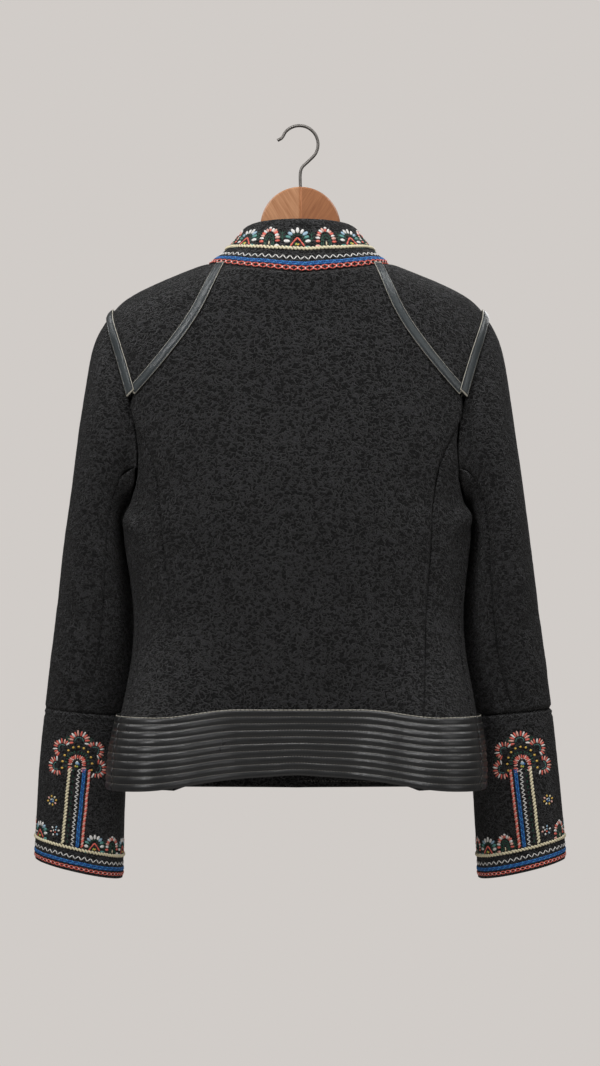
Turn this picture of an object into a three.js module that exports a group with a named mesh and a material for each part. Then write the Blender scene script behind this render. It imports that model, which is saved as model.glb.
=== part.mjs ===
// A short embroidered jacket of boiled wool with leather strips and a quilted
// leather hem band, hanging on a wooden hanger. Millimetres, +Z up. The origin
// is where the hook rests on a rail: the inner top of its bend. The jacket's
// front faces -Y and its back faces +Y, and the wearer's left is +X.

import * as THREE from 'three';
import { mergeVertices } from 'three/addons/utils/BufferGeometryUtils.js';

// ---------------------------------------------------------------- dimensions

const WOOL_THICKNESS = 2.6;
const STRIP_THICKNESS = 1.6;
const BAND_THICKNESS = 3.6;
const SEAM_GAP = 0.4; // between two pieces that are sewn together
const LYING_GAP = 0.9; // between a panel and what lies on it
const STRIP_WIDTH = 10;
const STRIP_INSET = 6.2; // middle of the armhole strip, in from the armhole edge
const YOKE_STRIP_END = 0.75; // where the yoke strip ends on its last step
const STRIP_CROSSING = 2.4; // how far the armhole strip lifts over the yoke strip
const STRIP_SLANT = 4.5; // how much shorter the armhole strip's inner edge is at each end

const ARMHOLE_TOP = -207;
const ARMHOLE_BOTTOM = -400;
const YOKE_ANGLE = 42; // where the yoke seams leave the neck seam, from the side
const HEM_FLARE_TOP = -520; // the back folds open between these two heights
const HEM_FLARE_BOTTOM = -705;
const WAIST_BAND_TOP = { back: -621, fold: -630, side: -630, front: -646 };

const HANGER = { thickness: 14, bevel: 1.6, humpRadius: 43, humpCentre: -107.7 };
// The arm from the hump outwards, round its tip and back along its lower side:
// each line has its two handles, then its end.
const HANGER_ARM = [
  [43, -126, 56, -142, 84, -151.5],
  [94.7, -155.5, 105.3, -159.5, 116, -163.5],
  [148, -177, 164, -184, 180, -196],
  [187, -201, 186, -211, 177, -211],
];
const HANGER_UNDERSIDE = { handles: [150, -196, 110, -178], z: -166 };
const HOOK = { wire: 3.4, radius: 20, centreX: 1, lead: 0.35, bendFrom: 20, bendTo: 212 };
const HOOK_TIP = [24.6, -14.2];
const HOOK_NECK = [[-8.4, -36.8], [-1.6, -43.6], [0, -49.5]];

const COLUMNS = { back: 14, sideBack: 5, front: 9, armhole: 12, collar: 24, strip: 2 };
const ROWS = { yoke: 7, princess: 11, sideSeam: 11, sleeve: 12, cuff: 5, collar: 3, band: 3 };
const NECK_CROWDING = 1.3; // above 1, rows lie closer together near the neck
const SIDE_CROWDING = 1.3; // above 1, the front's columns lie closer at the side

// Level sections of the body: half width at the side, depth of the back and of
// the front from the middle plane, and squareness (2 is an ellipse). Above the
// armhole the half width runs along the shoulder.
const BODY_SECTIONS = [
  { z: -148, halfWidth: 99, back: 74, front: 70, squareness: 2.0 },
  { z: -152, halfWidth: 111, back: 74, front: 71, squareness: 2.0 },
  { z: -162, halfWidth: 136, back: 75, front: 74, squareness: 2.0 },
  { z: -173, halfWidth: 161, back: 75.5, front: 77, squareness: 2.05 },
  { z: -184, halfWidth: 182, back: 76, front: 79, squareness: 2.1 },
  { z: -195, halfWidth: 194.5, back: 76.5, front: 81, squareness: 2.15 },
  { z: -207, halfWidth: 204, back: 77, front: 83, squareness: 2.25 },
  { z: -235, halfWidth: 212, back: 79, front: 88, squareness: 2.4 },
  { z: -290, halfWidth: 211, back: 82, front: 94, squareness: 2.5 },
  { z: -350, halfWidth: 199, back: 83, front: 96, squareness: 2.5 },
  { z: -400, halfWidth: 177, back: 82, front: 95, squareness: 2.5 },
  { z: -411, halfWidth: 183.2, back: 81.3, front: 94.2, squareness: 2.5 },
  { z: -424, halfWidth: 187.5, back: 80, front: 93, squareness: 2.5 },
  { z: -460, halfWidth: 184, back: 76, front: 89, squareness: 2.5 },
  { z: -517, halfWidth: 177, back: 71, front: 84, squareness: 2.55 },
  { z: -580, halfWidth: 178, back: 67, front: 85, squareness: 2.6 },
  { z: -640, halfWidth: 182, back: 64, front: 87, squareness: 2.6 },
  { z: -720, halfWidth: 185, back: 62, front: 91, squareness: 2.6 },
];

// The back of the hem, from in front of the side to the middle: two round folds
// stand out on either side of a flat middle.
const HEM_FOLDS = [
  { angle: -26, x: 172, y: -46 },
  { angle: -12, x: 184, y: -24 },
  { angle: 0, x: 191, y: 0 },
  { angle: 8, x: 194.5, y: 19 },
  { angle: 16, x: 197.5, y: 40 },
  { angle: 26, x: 194, y: 65 },
  { angle: 36, x: 180, y: 87 },
  { angle: 46, x: 154, y: 99 },
  { angle: 56, x: 124, y: 94 },
  { angle: 66, x: 93, y: 77 },
  { angle: 76, x: 60, y: 64 },
  { angle: 90, x: 0, y: 62 },
];

// Height of the neck seam and of the hem around the body, by angle: -90 is the
// middle of the front, 0 the side and 90 the middle of the back.
const NECK_SEAM = [
  { angle: -90, z: -215 },
  { angle: -75, z: -186 },
  { angle: -60, z: -166 },
  { angle: -42, z: -155 },
  { angle: -28, z: -150.5 },
  { angle: 0, z: -148 },
  { angle: 28, z: -149.5 },
  { angle: 42, z: -152 },
  { angle: 62, z: -157 },
  { angle: 90, z: -164 },
];
const HEM = [
  { angle: -90, z: -719 },
  { angle: -45, z: -716 },
  { angle: 0, z: -707 },
  { angle: 45, z: -704 },
  { angle: 66, z: -697 },
  { angle: 90, z: -690.5 },
];

// Distance of each seam from the middle of the back, by height.
const ARMHOLE_SEAM = [
  { z: -207, x: 204 },
  { z: -222, x: 200.5 },
  { z: -252, x: 191 },
  { z: -280, x: 181.5 },
  { z: -293, x: 178 },
  { z: -320, x: 174 },
  { z: -350, x: 172 },
  { z: -380, x: 173 },
  { z: -400, x: 177 },
];
const YOKE_SEAM = [
  { z: -152, x: 82.5 },
  { z: -180, x: 96 },
  { z: -208, x: 110 },
  { z: -239, x: 132 },
  { z: -266, x: 154 },
  { z: -285, x: 171 },
  { z: -293.4, x: 178 },
];
const PRINCESS_SEAM = [
  { z: -320, x: 173.5 },
  { z: -330, x: 164 },
  { z: -345, x: 155 },
  { z: -388, x: 146 },
  { z: -420, x: 143 },
  { z: -480, x: 139 },
  { z: -528, x: 135 },
  { z: -573, x: 130 },
  { z: -620, x: 124 },
  { z: -706, x: 120 },
];
const PRINCESS_FOOT = -704;
const SIDE_SEAM = [
  { z: -400, angle: 0 },
  { z: -450, angle: 6 },
  { z: -520, angle: 15 },
  { z: -630, angle: 27 },
  { z: -706, angle: 31 },
];
const SIDE_SEAM_FOOT = -705.5;

// Cross sections of the sleeve and cuff, from the armhole down: its outermost
// and innermost points, its middle's place from front to back, its half depth,
// and how far its inner side leans forwards past the body's side.
const SLEEVE_SECTIONS = [
  { outX: 204, outZ: -207, inX: 177, inZ: -400, y: 0, depth: 56, lean: 0 },
  { outX: 217.5, outZ: -233, inX: 183.5, inZ: -409, y: 0, depth: 60, lean: 16 },
  { outX: 226, outZ: -275, inX: 186.5, inZ: -420, y: -1, depth: 62, lean: 26 },
  { outX: 236, outZ: -340, inX: 186.6, inZ: -438, y: -3, depth: 60, lean: 31 },
  { outX: 246, outZ: -412, inX: 181.5, inZ: -464, y: -6, depth: 56, lean: 33 },
  { outX: 254, outZ: -470, inX: 176, inZ: -502, y: -10, depth: 52, lean: 34 },
  { outX: 262, outZ: -532, inX: 172, inZ: -555, y: -16, depth: 47, lean: 33 },
  { outX: 269, outZ: -585, inX: 171, inZ: -600, y: -21, depth: 43.5, lean: 35 },
  { outX: 274.5, outZ: -625, inX: 179, inZ: -636, y: -25, depth: 41, lean: 31 },
  { outX: 280, outZ: -672, inX: 187, inZ: -684, y: -29, depth: 41, lean: 20 },
  { outX: 285.5, outZ: -731, inX: 191, inZ: -748, y: -33, depth: 42, lean: 8 },
  { outX: 289, outZ: -789, inX: 193, inZ: -811, y: -36, depth: 44, lean: 0 },
];
const SLEEVE_SQUARENESS = 2.15;
const SLEEVE_LEAN_BEND = 1.4; // how late the inner side starts to lean forwards
const SLEEVE_JOIN = 4; // sections over which the armhole's own shape fades out
const CUFF_SECTION = 8; // the section at the cuff seam
const SLEEVE_SEAM = { armhole: 132, cuff: 85 }; // angle from the outer side

// The jacket hangs a little to its left, and its body swings out at the hem.
const SWAY = [
  { z: -100, body: 0, sleeve: 0 },
  { z: -230, body: 3.2, sleeve: 3.2 },
  { z: -420, body: 3.2, sleeve: 3.2 },
  { z: -600, body: 1.4, sleeve: 2.4 },
  { z: -700, body: 4.2, sleeve: 1.4 },
  { z: -811, body: 4.5, sleeve: 0 },
];

const COLLAR_TOP = { halfWidth: 59, back: 55, front: 48, flat: -104.5, side: -108, frontZ: -152 };
const COLLAR_LEAN = 0.75; // below 1, the collar flares at its foot
const COLLAR_FOOT = 0.012; // share of its height at which it clears the neck seam

const WOOL = new THREE.MeshStandardMaterial({ color: 0x252526, roughness: 0.95, metalness: 0 });
const LEATHER = new THREE.MeshStandardMaterial({ color: 0x3d3f3f, roughness: 0.5, metalness: 0 });
const QUILTED = new THREE.MeshStandardMaterial({ color: 0x39393a, roughness: 0.5, metalness: 0 });
const WOOD = new THREE.MeshStandardMaterial({ color: 0xcb8b60, roughness: 0.45, metalness: 0 });
const STEEL = new THREE.MeshStandardMaterial({ color: 0x6a6662, roughness: 0.35, metalness: 1 });

// ------------------------------------------------------------------- helpers

const radians = THREE.MathUtils.degToRad;
const smooth = THREE.MathUtils.smoothstep;
const mix = THREE.MathUtils.lerp;
const power = (value, exponent) => Math.sign(value) * Math.pow(Math.abs(value), exponent);
const steps = (count) => Array.from({ length: count + 1 }, (_, i) => i / count);

// Reads one column of a table at any place along it, on a smooth curve.
function read(table, along, column, place) {
  const falling = table[0][along] > table[table.length - 1][along];
  const key = (row) => (falling ? -row[along] : row[along]);
  const bottom = table[table.length - 1];
  const at = THREE.MathUtils.clamp(falling ? -place : place, key(table[0]), key(bottom));
  let i = 0;
  while (i < table.length - 2 && at > key(table[i + 1])) i += 1;
  const slope = (j) => {
    const before = table[Math.max(j - 1, 0)];
    const after = table[Math.min(j + 1, table.length - 1)];
    return (after[column] - before[column]) / (key(after) - key(before));
  };
  const width = key(table[i + 1]) - key(table[i]);
  const t = (at - key(table[i])) / width;
  const low = table[i][column];
  const high = table[i + 1][column];
  return low * (2 * t ** 3 - 3 * t ** 2 + 1) + slope(i) * width * (t ** 3 - 2 * t ** 2 + t)
    + high * (3 * t ** 2 - 2 * t ** 3) + slope(i + 1) * width * (t ** 3 - t ** 2);
}

// ------------------------------------------------------- the body's surface

// Angles are in degrees around the body: 0 is the left side and 90 the middle
// of the back. The right half mirrors the left.
function bodyPoint(angle, z) {
  const mirrored = Math.abs(angle) > 90;
  const near = mirrored ? Math.sign(angle) * 180 - angle : angle;
  const shape = (column) => read(BODY_SECTIONS, 'z', column, z);
  const exponent = 2 / shape('squareness');
  const depth = near > 0 ? shape('back') : shape('front');
  let x = shape('halfWidth') * power(Math.cos(radians(near)), exponent);
  let y = depth * power(Math.sin(radians(near)), exponent);
  if (near > HEM_FOLDS[0].angle) {
    const onFold = smooth(near, HEM_FOLDS[0].angle, 0);
    const flare = smooth(-z, -HEM_FLARE_TOP, -HEM_FLARE_BOTTOM) * onFold;
    x = mix(x, read(HEM_FOLDS, 'angle', 'x', near), flare);
    y = mix(y, read(HEM_FOLDS, 'angle', 'y', near), flare);
  }
  return new THREE.Vector3(mirrored ? -x : x, y, z);
}

// The angle at which the section at height z lies x away from the middle.
function angleAt(x, z) {
  const ratio = Math.min(x / read(BODY_SECTIONS, 'z', 'halfWidth', z), 1);
  const cosine = Math.pow(ratio, read(BODY_SECTIONS, 'z', 'squareness', z) / 2);
  return THREE.MathUtils.radToDeg(Math.acos(cosine));
}

// Outward normal of a surface given as a function of two numbers: the first
// runs round it, and the second runs down for a positive dv.
function normalOf(surface, u, v, du, dv) {
  const along = surface(u + du, v).sub(surface(u - du, v));
  const down = surface(u, v + dv).sub(surface(u, v - dv));
  return down.cross(along).normalize();
}
const bodyNormal = (angle, z) => normalOf(bodyPoint, angle, z, 0.4, -0.8);

// ------------------------------------------------------------ seams (left)

// A seam is a list of {angle, z} places on the body. Neighbours use the same
// list, so that their edges run side by side.
const ARMHOLE_MIDDLE = (ARMHOLE_TOP + ARMHOLE_BOTTOM) / 2;
const ARMHOLE_HALF = (ARMHOLE_TOP - ARMHOLE_BOTTOM) / 2;
const TIP = 6; // step of the armhole at which the strips meet
const PRINCESS_START = 7;

// Angle around the armhole of one of its 24 steps: 0 at the shoulder point.
function armholeTurn(step) {
  const size = Math.abs(step);
  const turn = size <= TIP ? size * 14 : 84 + (size - TIP) * 16;
  return Math.sign(step) * turn;
}
function armholePlace(step) {
  const turn = radians(armholeTurn(step));
  const z = ARMHOLE_MIDDLE + ARMHOLE_HALF * Math.cos(turn);
  const angle = angleAt(read(ARMHOLE_SEAM, 'z', 'x', z), z);
  return { angle: Math.sin(turn) < 0 ? -angle : angle, z };
}
const neckPlace = (angle) => ({ angle, z: read(NECK_SEAM, 'angle', 'z', angle) });
const hemPlace = (angle) => ({ angle, z: read(HEM, 'angle', 'z', angle) });

function yokeSeam(sign) {
  const start = neckPlace(sign * YOKE_ANGLE);
  const end = armholePlace(sign * TIP);
  return steps(ROWS.yoke).map((t) => {
    const z = mix(start.z, end.z, t ** NECK_CROWDING);
    const angle = angleAt(read(YOKE_SEAM, 'z', 'x', z), z);
    if (t === 0) return start;
    return t === 1 ? end : { angle: sign * angle, z };
  });
}
function princessSeam() {
  const start = armholePlace(PRINCESS_START);
  return steps(ROWS.princess).map((t) => {
    const z = mix(start.z, PRINCESS_FOOT, t);
    return t === 0 ? start : { angle: angleAt(read(PRINCESS_SEAM, 'z', 'x', z), z), z };
  });
}
function sideSeam() {
  return steps(ROWS.sideSeam).map((t) => {
    const z = mix(ARMHOLE_BOTTOM, SIDE_SEAM_FOOT, t);
    return { angle: read(SIDE_SEAM, 'z', 'angle', z), z };
  });
}
function hemLine(from, to, columns, spread = (t) => t) {
  return steps(columns).map((t) => {
    if (t === 0) return from;
    if (t === 1) return to;
    return hemPlace(mix(from.angle, to.angle, spread(t)));
  });
}
const crowd = (t) => 1 - (1 - t) ** SIDE_CROWDING;
const mirrorPlace = (place) => ({ angle: 180 - place.angle, z: place.z });

// Fills the patch between four edges: left and right run down, top and bottom
// run from left to right, and the corners are shared.
function fill(left, right, top, bottom) {
  const rows = left.length - 1;
  const columns = top.length - 1;
  const blend = (key, i, j) => {
    const t = (left[i].z - left[0].z) / (left[rows].z - left[0].z);
    const s = j / columns;
    const across = mix(left[i][key], right[i][key], s);
    const down = mix(top[j][key], bottom[j][key], t);
    const above = mix(top[0][key], top[columns][key], s);
    const below = mix(bottom[0][key], bottom[columns][key], s);
    return across + down - mix(above, below, t);
  };
  return left.map((_, i) => top.map((__, j) => ({ angle: blend('angle', i, j), z: blend('z', i, j) })));
}

// ------------------------------------------------------------ walls of cloth

// Turns a grid of {point, normal} into one closed wall, which sways with the
// body or with the sleeves. Its open edges step back by half the seam gap.
function wall(grid, options = {}) {
  const { low = -WOOL_THICKNESS, high = 0, closed = false, mirror = false, part = 'body' } = options;
  const rows = grid.length;
  const columns = grid[0].length;
  const moved = grid.map((line) => line.map((node) => node.point.clone()));
  const inward = (i, j, k, l) => moved[i][j].addScaledVector(
    grid[k][l].point.clone().sub(grid[i][j].point).normalize(), SEAM_GAP / 2);
  for (let j = 0; j < columns; j += 1) {
    inward(0, j, 1, j);
    inward(rows - 1, j, rows - 2, j);
  }
  for (let i = 0; i < rows && !closed; i += 1) {
    inward(i, 0, i, 1);
    inward(i, columns - 1, i, columns - 2);
  }
  const positions = [];
  for (const lift of [high, low]) {
    grid.forEach((line, i) => line.forEach((node, j) => {
      const height = lift + (node.lift ?? 0);
      const point = moved[i][j].clone().addScaledVector(node.normal, height);
      const x = mirror ? -point.x : point.x;
      positions.push(x + read(SWAY, 'z', part, point.z), point.y, point.z);
    }));
  }
  const index = [];
  const at = (layer, i, j) => layer * rows * columns + i * columns + (j % columns);
  const quad = (a, b, c, d) => index.push(a, b, c, a, c, d);
  const last = closed ? columns : columns - 1;
  for (let i = 0; i < rows - 1; i += 1) {
    for (let j = 0; j < last; j += 1) {
      quad(at(0, i, j), at(0, i + 1, j), at(0, i + 1, j + 1), at(0, i, j + 1));
      quad(at(1, i, j), at(1, i, j + 1), at(1, i + 1, j + 1), at(1, i + 1, j));
    }
  }
  for (let j = 0; j < last; j += 1) {
    quad(at(0, 0, j), at(0, 0, j + 1), at(1, 0, j + 1), at(1, 0, j));
    quad(at(0, rows - 1, j + 1), at(0, rows - 1, j), at(1, rows - 1, j), at(1, rows - 1, j + 1));
  }
  for (let i = 0; i < rows - 1 && !closed; i += 1) {
    quad(at(0, i + 1, 0), at(0, i, 0), at(1, i, 0), at(1, i + 1, 0));
    quad(at(0, i, last), at(0, i + 1, last), at(1, i + 1, last), at(1, i, last));
  }
  return outward(positions, index);
}

// Makes a geometry whose faces point outwards, whichever way they were wound.
function outward(positions, index) {
  const corner = (k) => new THREE.Vector3().fromArray(positions, index[k] * 3);
  let volume = 0;
  for (let k = 0; k < index.length; k += 3) {
    volume += corner(k).dot(corner(k + 1).cross(corner(k + 2)));
  }
  if (volume < 0) index.reverse();
  const geometry = new THREE.BufferGeometry();
  geometry.setAttribute('position', new THREE.Float32BufferAttribute(positions, 3));
  geometry.setIndex(index);
  return geometry;
}

const onBody = (places) => places.map((line) => line.map(({ angle, z, lift }) => (
  { point: bodyPoint(angle, z), normal: bodyNormal(angle, z), lift }
)));

// ------------------------------------------------------------ body panels

function backPanel() {
  const seam = [...yokeSeam(1), ...princessSeam()];
  const right = seam.map(mirrorPlace);
  const top = steps(COLUMNS.back).map((t) => {
    const angle = mix(YOKE_ANGLE, 180 - YOKE_ANGLE, t);
    return { angle, z: neckPlace(angle > 90 ? 180 - angle : angle).z };
  });
  const bottom = steps(COLUMNS.back).map((t) => {
    const angle = mix(seam[seam.length - 1].angle, 180 - seam[seam.length - 1].angle, t);
    return { angle, z: hemPlace(angle > 90 ? 180 - angle : angle).z };
  });
  bottom[0] = seam[seam.length - 1];
  bottom[COLUMNS.back] = right[right.length - 1];
  return onBody(fill(seam, right, top, bottom));
}

function sideBackPanel() {
  const princess = princessSeam();
  const side = sideSeam();
  const armhole = steps(COLUMNS.sideBack).map((_, i) => armholePlace(PRINCESS_START + i));
  armhole[COLUMNS.sideBack] = side[0];
  const hem = hemLine(princess[ROWS.princess], side[ROWS.sideSeam], COLUMNS.sideBack);
  return onBody(fill(princess, side, armhole, hem));
}

function frontPanel() {
  const armhole = steps(TIP).slice(1).map((_, i) => armholePlace(-(TIP + 1 + i)));
  const outer = [...yokeSeam(-1), ...armhole.slice(0, -1), ...sideSeam()];
  const first = outer[0].z;
  const final = outer[outer.length - 1].z;
  const centre = outer.map((place) => ({
    angle: -90, z: mix(neckPlace(-90).z, hemPlace(-90).z, (place.z - first) / (final - first)),
  }));
  const neck = steps(COLUMNS.front).map((t) => neckPlace(mix(-90, -YOKE_ANGLE, t)));
  neck[0] = centre[0];
  const hem = hemLine(centre[centre.length - 1], outer[outer.length - 1], COLUMNS.front, crowd);
  return onBody(fill(centre, outer, neck, hem));
}

function shoulderPanel() {
  const armhole = steps(COLUMNS.armhole).map((_, i) => armholePlace(i - TIP));
  const neck = steps(COLUMNS.armhole).map((t) => neckPlace(mix(-YOKE_ANGLE, YOKE_ANGLE, t)));
  return onBody(fill(yokeSeam(-1), yokeSeam(1), neck, armhole));
}

// ---------------------------------------------------------------- the sleeve

function sleeveRing(turn, section) {
  const shape = (column) => readSection(column, section);
  const cosine = power(Math.cos(radians(turn)), 2 / SLEEVE_SQUARENESS);
  const sine = power(Math.sin(radians(turn)), 2 / SLEEVE_SQUARENESS);
  const x = (shape('outX') + shape('inX')) / 2 + (shape('outX') - shape('inX')) / 2 * cosine;
  const z = (shape('outZ') + shape('inZ')) / 2 + (shape('outZ') - shape('inZ')) / 2 * cosine;
  const lean = shape('lean') * Math.pow((1 - cosine) / 2, SLEEVE_LEAN_BEND);
  return new THREE.Vector3(x, shape('y') + shape('depth') * sine - lean, z);
}
const NUMBERED = SLEEVE_SECTIONS.map((row, number) => ({ number, ...row }));
const readSection = (column, section) => read(NUMBERED, 'number', column, section);

function armholePoint(turn) {
  const z = ARMHOLE_MIDDLE + ARMHOLE_HALF * Math.cos(radians(turn));
  const angle = angleAt(read(ARMHOLE_SEAM, 'z', 'x', z), z);
  return bodyPoint(Math.sin(radians(turn)) < 0 ? -angle : angle, z);
}
function sleevePoint(turn, section) {
  const fade = 1 - smooth(section, 0, SLEEVE_JOIN);
  const point = sleeveRing(turn, section);
  if (fade === 0) return point;
  const shift = armholePoint(turn).sub(sleeveRing(turn, 0));
  return point.addScaledVector(shift, fade);
}
const sleeveNormal = (turn, section) => normalOf(sleevePoint, turn, section, 0.5, 0.02);
const onSleeve = (turn, section) => (
  { point: sleevePoint(turn, section), normal: sleeveNormal(turn, section) }
);

// The two seams wander from the armhole towards the middle of the cuff.
function sleevePanel(first, count) {
  const { armhole, cuff } = SLEEVE_SEAM;
  const top = steps(count).map((_, i) => armholeTurn(wrapStep(first + i)) + (first + i > 12 ? 360 : 0));
  const bottom = top.map((turn) => (turn <= armhole
    ? turn * cuff / armhole
    : cuff + (turn - armhole) * (360 - 2 * cuff) / (360 - 2 * armhole)));
  return steps(ROWS.sleeve).map((t) => top.map((turn, j) => (
    onSleeve(mix(turn, bottom[j], t), CUFF_SECTION * t)
  )));
}
const wrapStep = (step) => (step > 12 ? step - 24 : step);

function cuffWall() {
  const last = SLEEVE_SECTIONS.length - 1;
  const turns = steps(24).slice(0, -1).map((t) => 360 * t);
  return steps(ROWS.cuff).map((t) => turns.map((turn) => onSleeve(turn, mix(CUFF_SECTION, last, t))));
}

// ---------------------------------------------------------------- the collar

function collarTop(angle) {
  const cosine = Math.cos(radians(angle));
  const sine = Math.sin(radians(angle));
  const { halfWidth, back, front, flat, side, frontZ } = COLLAR_TOP;
  const z = sine > 0 ? mix(flat, side, cosine ** 4) : mix(side, frontZ, smooth(-sine, 0, 1.1));
  return new THREE.Vector3(halfWidth * cosine, (sine > 0 ? back : front) * sine, z);
}
function collarPoint(angle, t) {
  const near = angle > 90 ? 180 - angle : angle;
  const foot = bodyPoint(angle, neckPlace(near).z);
  const top = collarTop(near);
  const lean = Math.pow(Math.max(t, 0), COLLAR_LEAN);
  const topX = near === angle ? top.x : -top.x;
  return new THREE.Vector3(mix(foot.x, topX, lean), mix(foot.y, top.y, lean), mix(foot.z, top.z, t));
}
function collarWall() {
  return steps(ROWS.collar).map((t) => steps(COLUMNS.collar).map((s) => {
    const angle = mix(-90, 270, s);
    const height = mix(COLLAR_FOOT, 1, t);
    const own = normalOf(collarPoint, angle, height, 0.3, -0.003);
    const seam = bodyNormal(angle, neckPlace(angle > 90 ? 180 - angle : angle).z);
    return { point: collarPoint(angle, height), normal: t === 0 ? seam : own };
  }));
}

// ---------------------------------------------------- leather on the panels

// The change of {angle, z} that moves a place of the body by a short vector.
function stepOnBody({ angle, z }, vector) {
  const turn = bodyPoint(angle + 0.2, z).sub(bodyPoint(angle - 0.2, z)).divideScalar(0.4);
  const rise = bodyPoint(angle, z + 0.4).sub(bodyPoint(angle, z - 0.4)).divideScalar(0.8);
  const a = turn.dot(turn);
  const b = turn.dot(rise);
  const d = rise.dot(rise);
  const p = turn.dot(vector);
  const q = rise.dot(vector);
  const size = a * d - b * b;
  return { angle: angle + (p * d - q * b) / size, z: z + (a * q - b * p) / size };
}

// A strip along a line of places, moved sideways by shift, with a lift of its
// own at each step. Its ends are cut shorter by slant on the inner edge.
function stripGrid(line, { shift = 0, slant = 0, liftAt = () => 0 } = {}) {
  const last = line.length - 1;
  const points = line.map(({ angle, z }) => bodyPoint(angle, z));
  return line.map((place, i) => {
    const along = points[Math.min(i + 1, last)].clone().sub(points[Math.max(i - 1, 0)]).normalize();
    const across = along.clone().cross(bodyNormal(place.angle, place.z)).normalize();
    const cut = { 0: slant, [last]: -slant }[i] ?? 0;
    return steps(COLUMNS.strip).map((s) => {
      const offset = across.clone().multiplyScalar(shift + mix(-STRIP_WIDTH / 2, STRIP_WIDTH / 2, s));
      offset.addScaledVector(along, cut * s);
      return { ...stepOnBody(place, offset), lift: liftAt(i) };
    });
  });
}

// The yoke strip ends under the armhole strip, short of the armhole itself.
function yokeStrip(sign) {
  const seam = yokeSeam(sign);
  const last = seam.length - 1;
  const end = (key) => mix(seam[last - 1][key], seam[last][key], YOKE_STRIP_END);
  seam[last] = { angle: end('angle'), z: end('z') };
  return onBody(stripGrid(seam));
}
function armholeStrip() {
  const line = steps(2 * TIP).map((_, i) => armholePlace(TIP - i));
  const ends = [1, 0.75];
  const liftAt = (i) => STRIP_CROSSING * (ends[Math.min(i, line.length - 1 - i)] ?? 0);
  return onBody(stripGrid(line, { shift: STRIP_INSET, slant: STRIP_SLANT, liftAt }));
}

const onPanel = { low: LYING_GAP, high: LYING_GAP + STRIP_THICKNESS };
const bandOnPanel = { low: LYING_GAP, high: LYING_GAP + BAND_THICKNESS };

function bandTop(near) {
  const { back, fold, side, front } = WAIST_BAND_TOP;
  if (near > 0) return mix(mix(side, fold, smooth(near, 0, 30)), back, smooth(near, 48, 76));
  return mix(side, front, smooth(-near, 0, 90));
}
// The band's columns stand on those of the panels under it, which lean with
// the seams: anglesAt gives the angles of all columns at one height.
function bandGrid(anglesAt) {
  const foot = anglesAt(HEM_FLARE_BOTTOM);
  return onBody(steps(ROWS.band).map((t) => foot.map((footAngle, j) => {
    const near = footAngle > 90 ? 180 - footAngle : footAngle;
    const z = mix(bandTop(near), hemPlace(near).z, t);
    return { angle: anglesAt(z)[j], z };
  })));
}
function bandBackAngles(z) {
  const princess = angleAt(read(PRINCESS_SEAM, 'z', 'x', z), z);
  const side = read(SIDE_SEAM, 'z', 'angle', z);
  const left = steps(COLUMNS.sideBack).map((t) => mix(side, princess, t));
  const middle = steps(COLUMNS.back).slice(1, -1).map((t) => mix(princess, 180 - princess, t));
  const right = [...left].reverse().map((angle) => 180 - angle);
  return [...left, ...middle, ...right];
}
function bandFrontAngles(z) {
  const side = read(SIDE_SEAM, 'z', 'angle', z);
  return steps(COLUMNS.front).map((t) => mix(-90, side, crowd(t)));
}

// ------------------------------------------------------------ hanger and hook

// Outline of the left half of the hanger: a round hump over the neck, and an
// arm that runs just under the shoulder.
function hangerHalf() {
  const { humpRadius, humpCentre, thickness, bevel } = HANGER;
  const shape = new THREE.Shape();
  const edge = SEAM_GAP / 2;
  shape.moveTo(edge + bevel, humpCentre + humpRadius - bevel);
  shape.absarc(0, humpCentre, humpRadius - bevel, radians(90 - 2.4), radians(4), true);
  HANGER_ARM.forEach((curve) => shape.bezierCurveTo(...curve));
  shape.bezierCurveTo(...HANGER_UNDERSIDE.handles, edge + bevel, HANGER_UNDERSIDE.z);
  shape.closePath();
  const geometry = new THREE.ExtrudeGeometry(shape, {
    depth: thickness - 2 * bevel, curveSegments: 7,
    bevelSize: bevel, bevelThickness: bevel, bevelSegments: 1,
  });
  geometry.rotateX(Math.PI / 2);
  geometry.translate(0, thickness / 2 - bevel, 0);
  return geometry;
}

function hookWire() {
  const { wire, radius, centreX, lead, bendFrom, bendTo } = HOOK;
  const centreZ = -radius + wire / 2;
  const onBend = (degrees) => new THREE.Vector3(
    centreX + radius * Math.cos(radians(degrees)), 0, centreZ + radius * Math.sin(radians(degrees)));
  const woodTop = HANGER.humpCentre + HANGER.humpRadius;
  const flat = ([x, z]) => new THREE.Vector3(x, 0, z);
  const points = [
    flat(HOOK_TIP),
    ...steps(9).map((t) => onBend(mix(bendFrom, bendTo, t))),
    ...HOOK_NECK.map(flat),
    flat([0, woodTop + lead]),
  ];
  const section = new THREE.Shape();
  section.absarc(0, 0, wire / 2, 0, 2 * Math.PI);
  return new THREE.ExtrudeGeometry(section, {
    steps: 44, curveSegments: 5, bevelEnabled: false,
    extrudePath: new THREE.CatmullRomCurve3(points, false, 'centripetal'),
  });
}

// ---------------------------------------------------------------- assembling

const jacket = new THREE.Group();

function add(name, geometry, material) {
  const bare = geometry.index ? geometry : clean(geometry);
  const mesh = new THREE.Mesh(bare, material);
  mesh.name = name;
  jacket.add(mesh);
}
function clean(geometry) {
  geometry.deleteAttribute('normal');
  geometry.deleteAttribute('uv');
  return mergeVertices(geometry, 1e-3);
}

// The right-hand piece is the left one mirrored.
function addPair(name, grid, material, options = {}) {
  add(`${name}_left`, wall(grid, options), material);
  add(`${name}_right`, wall(grid, { ...options, mirror: true }), material);
}

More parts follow.
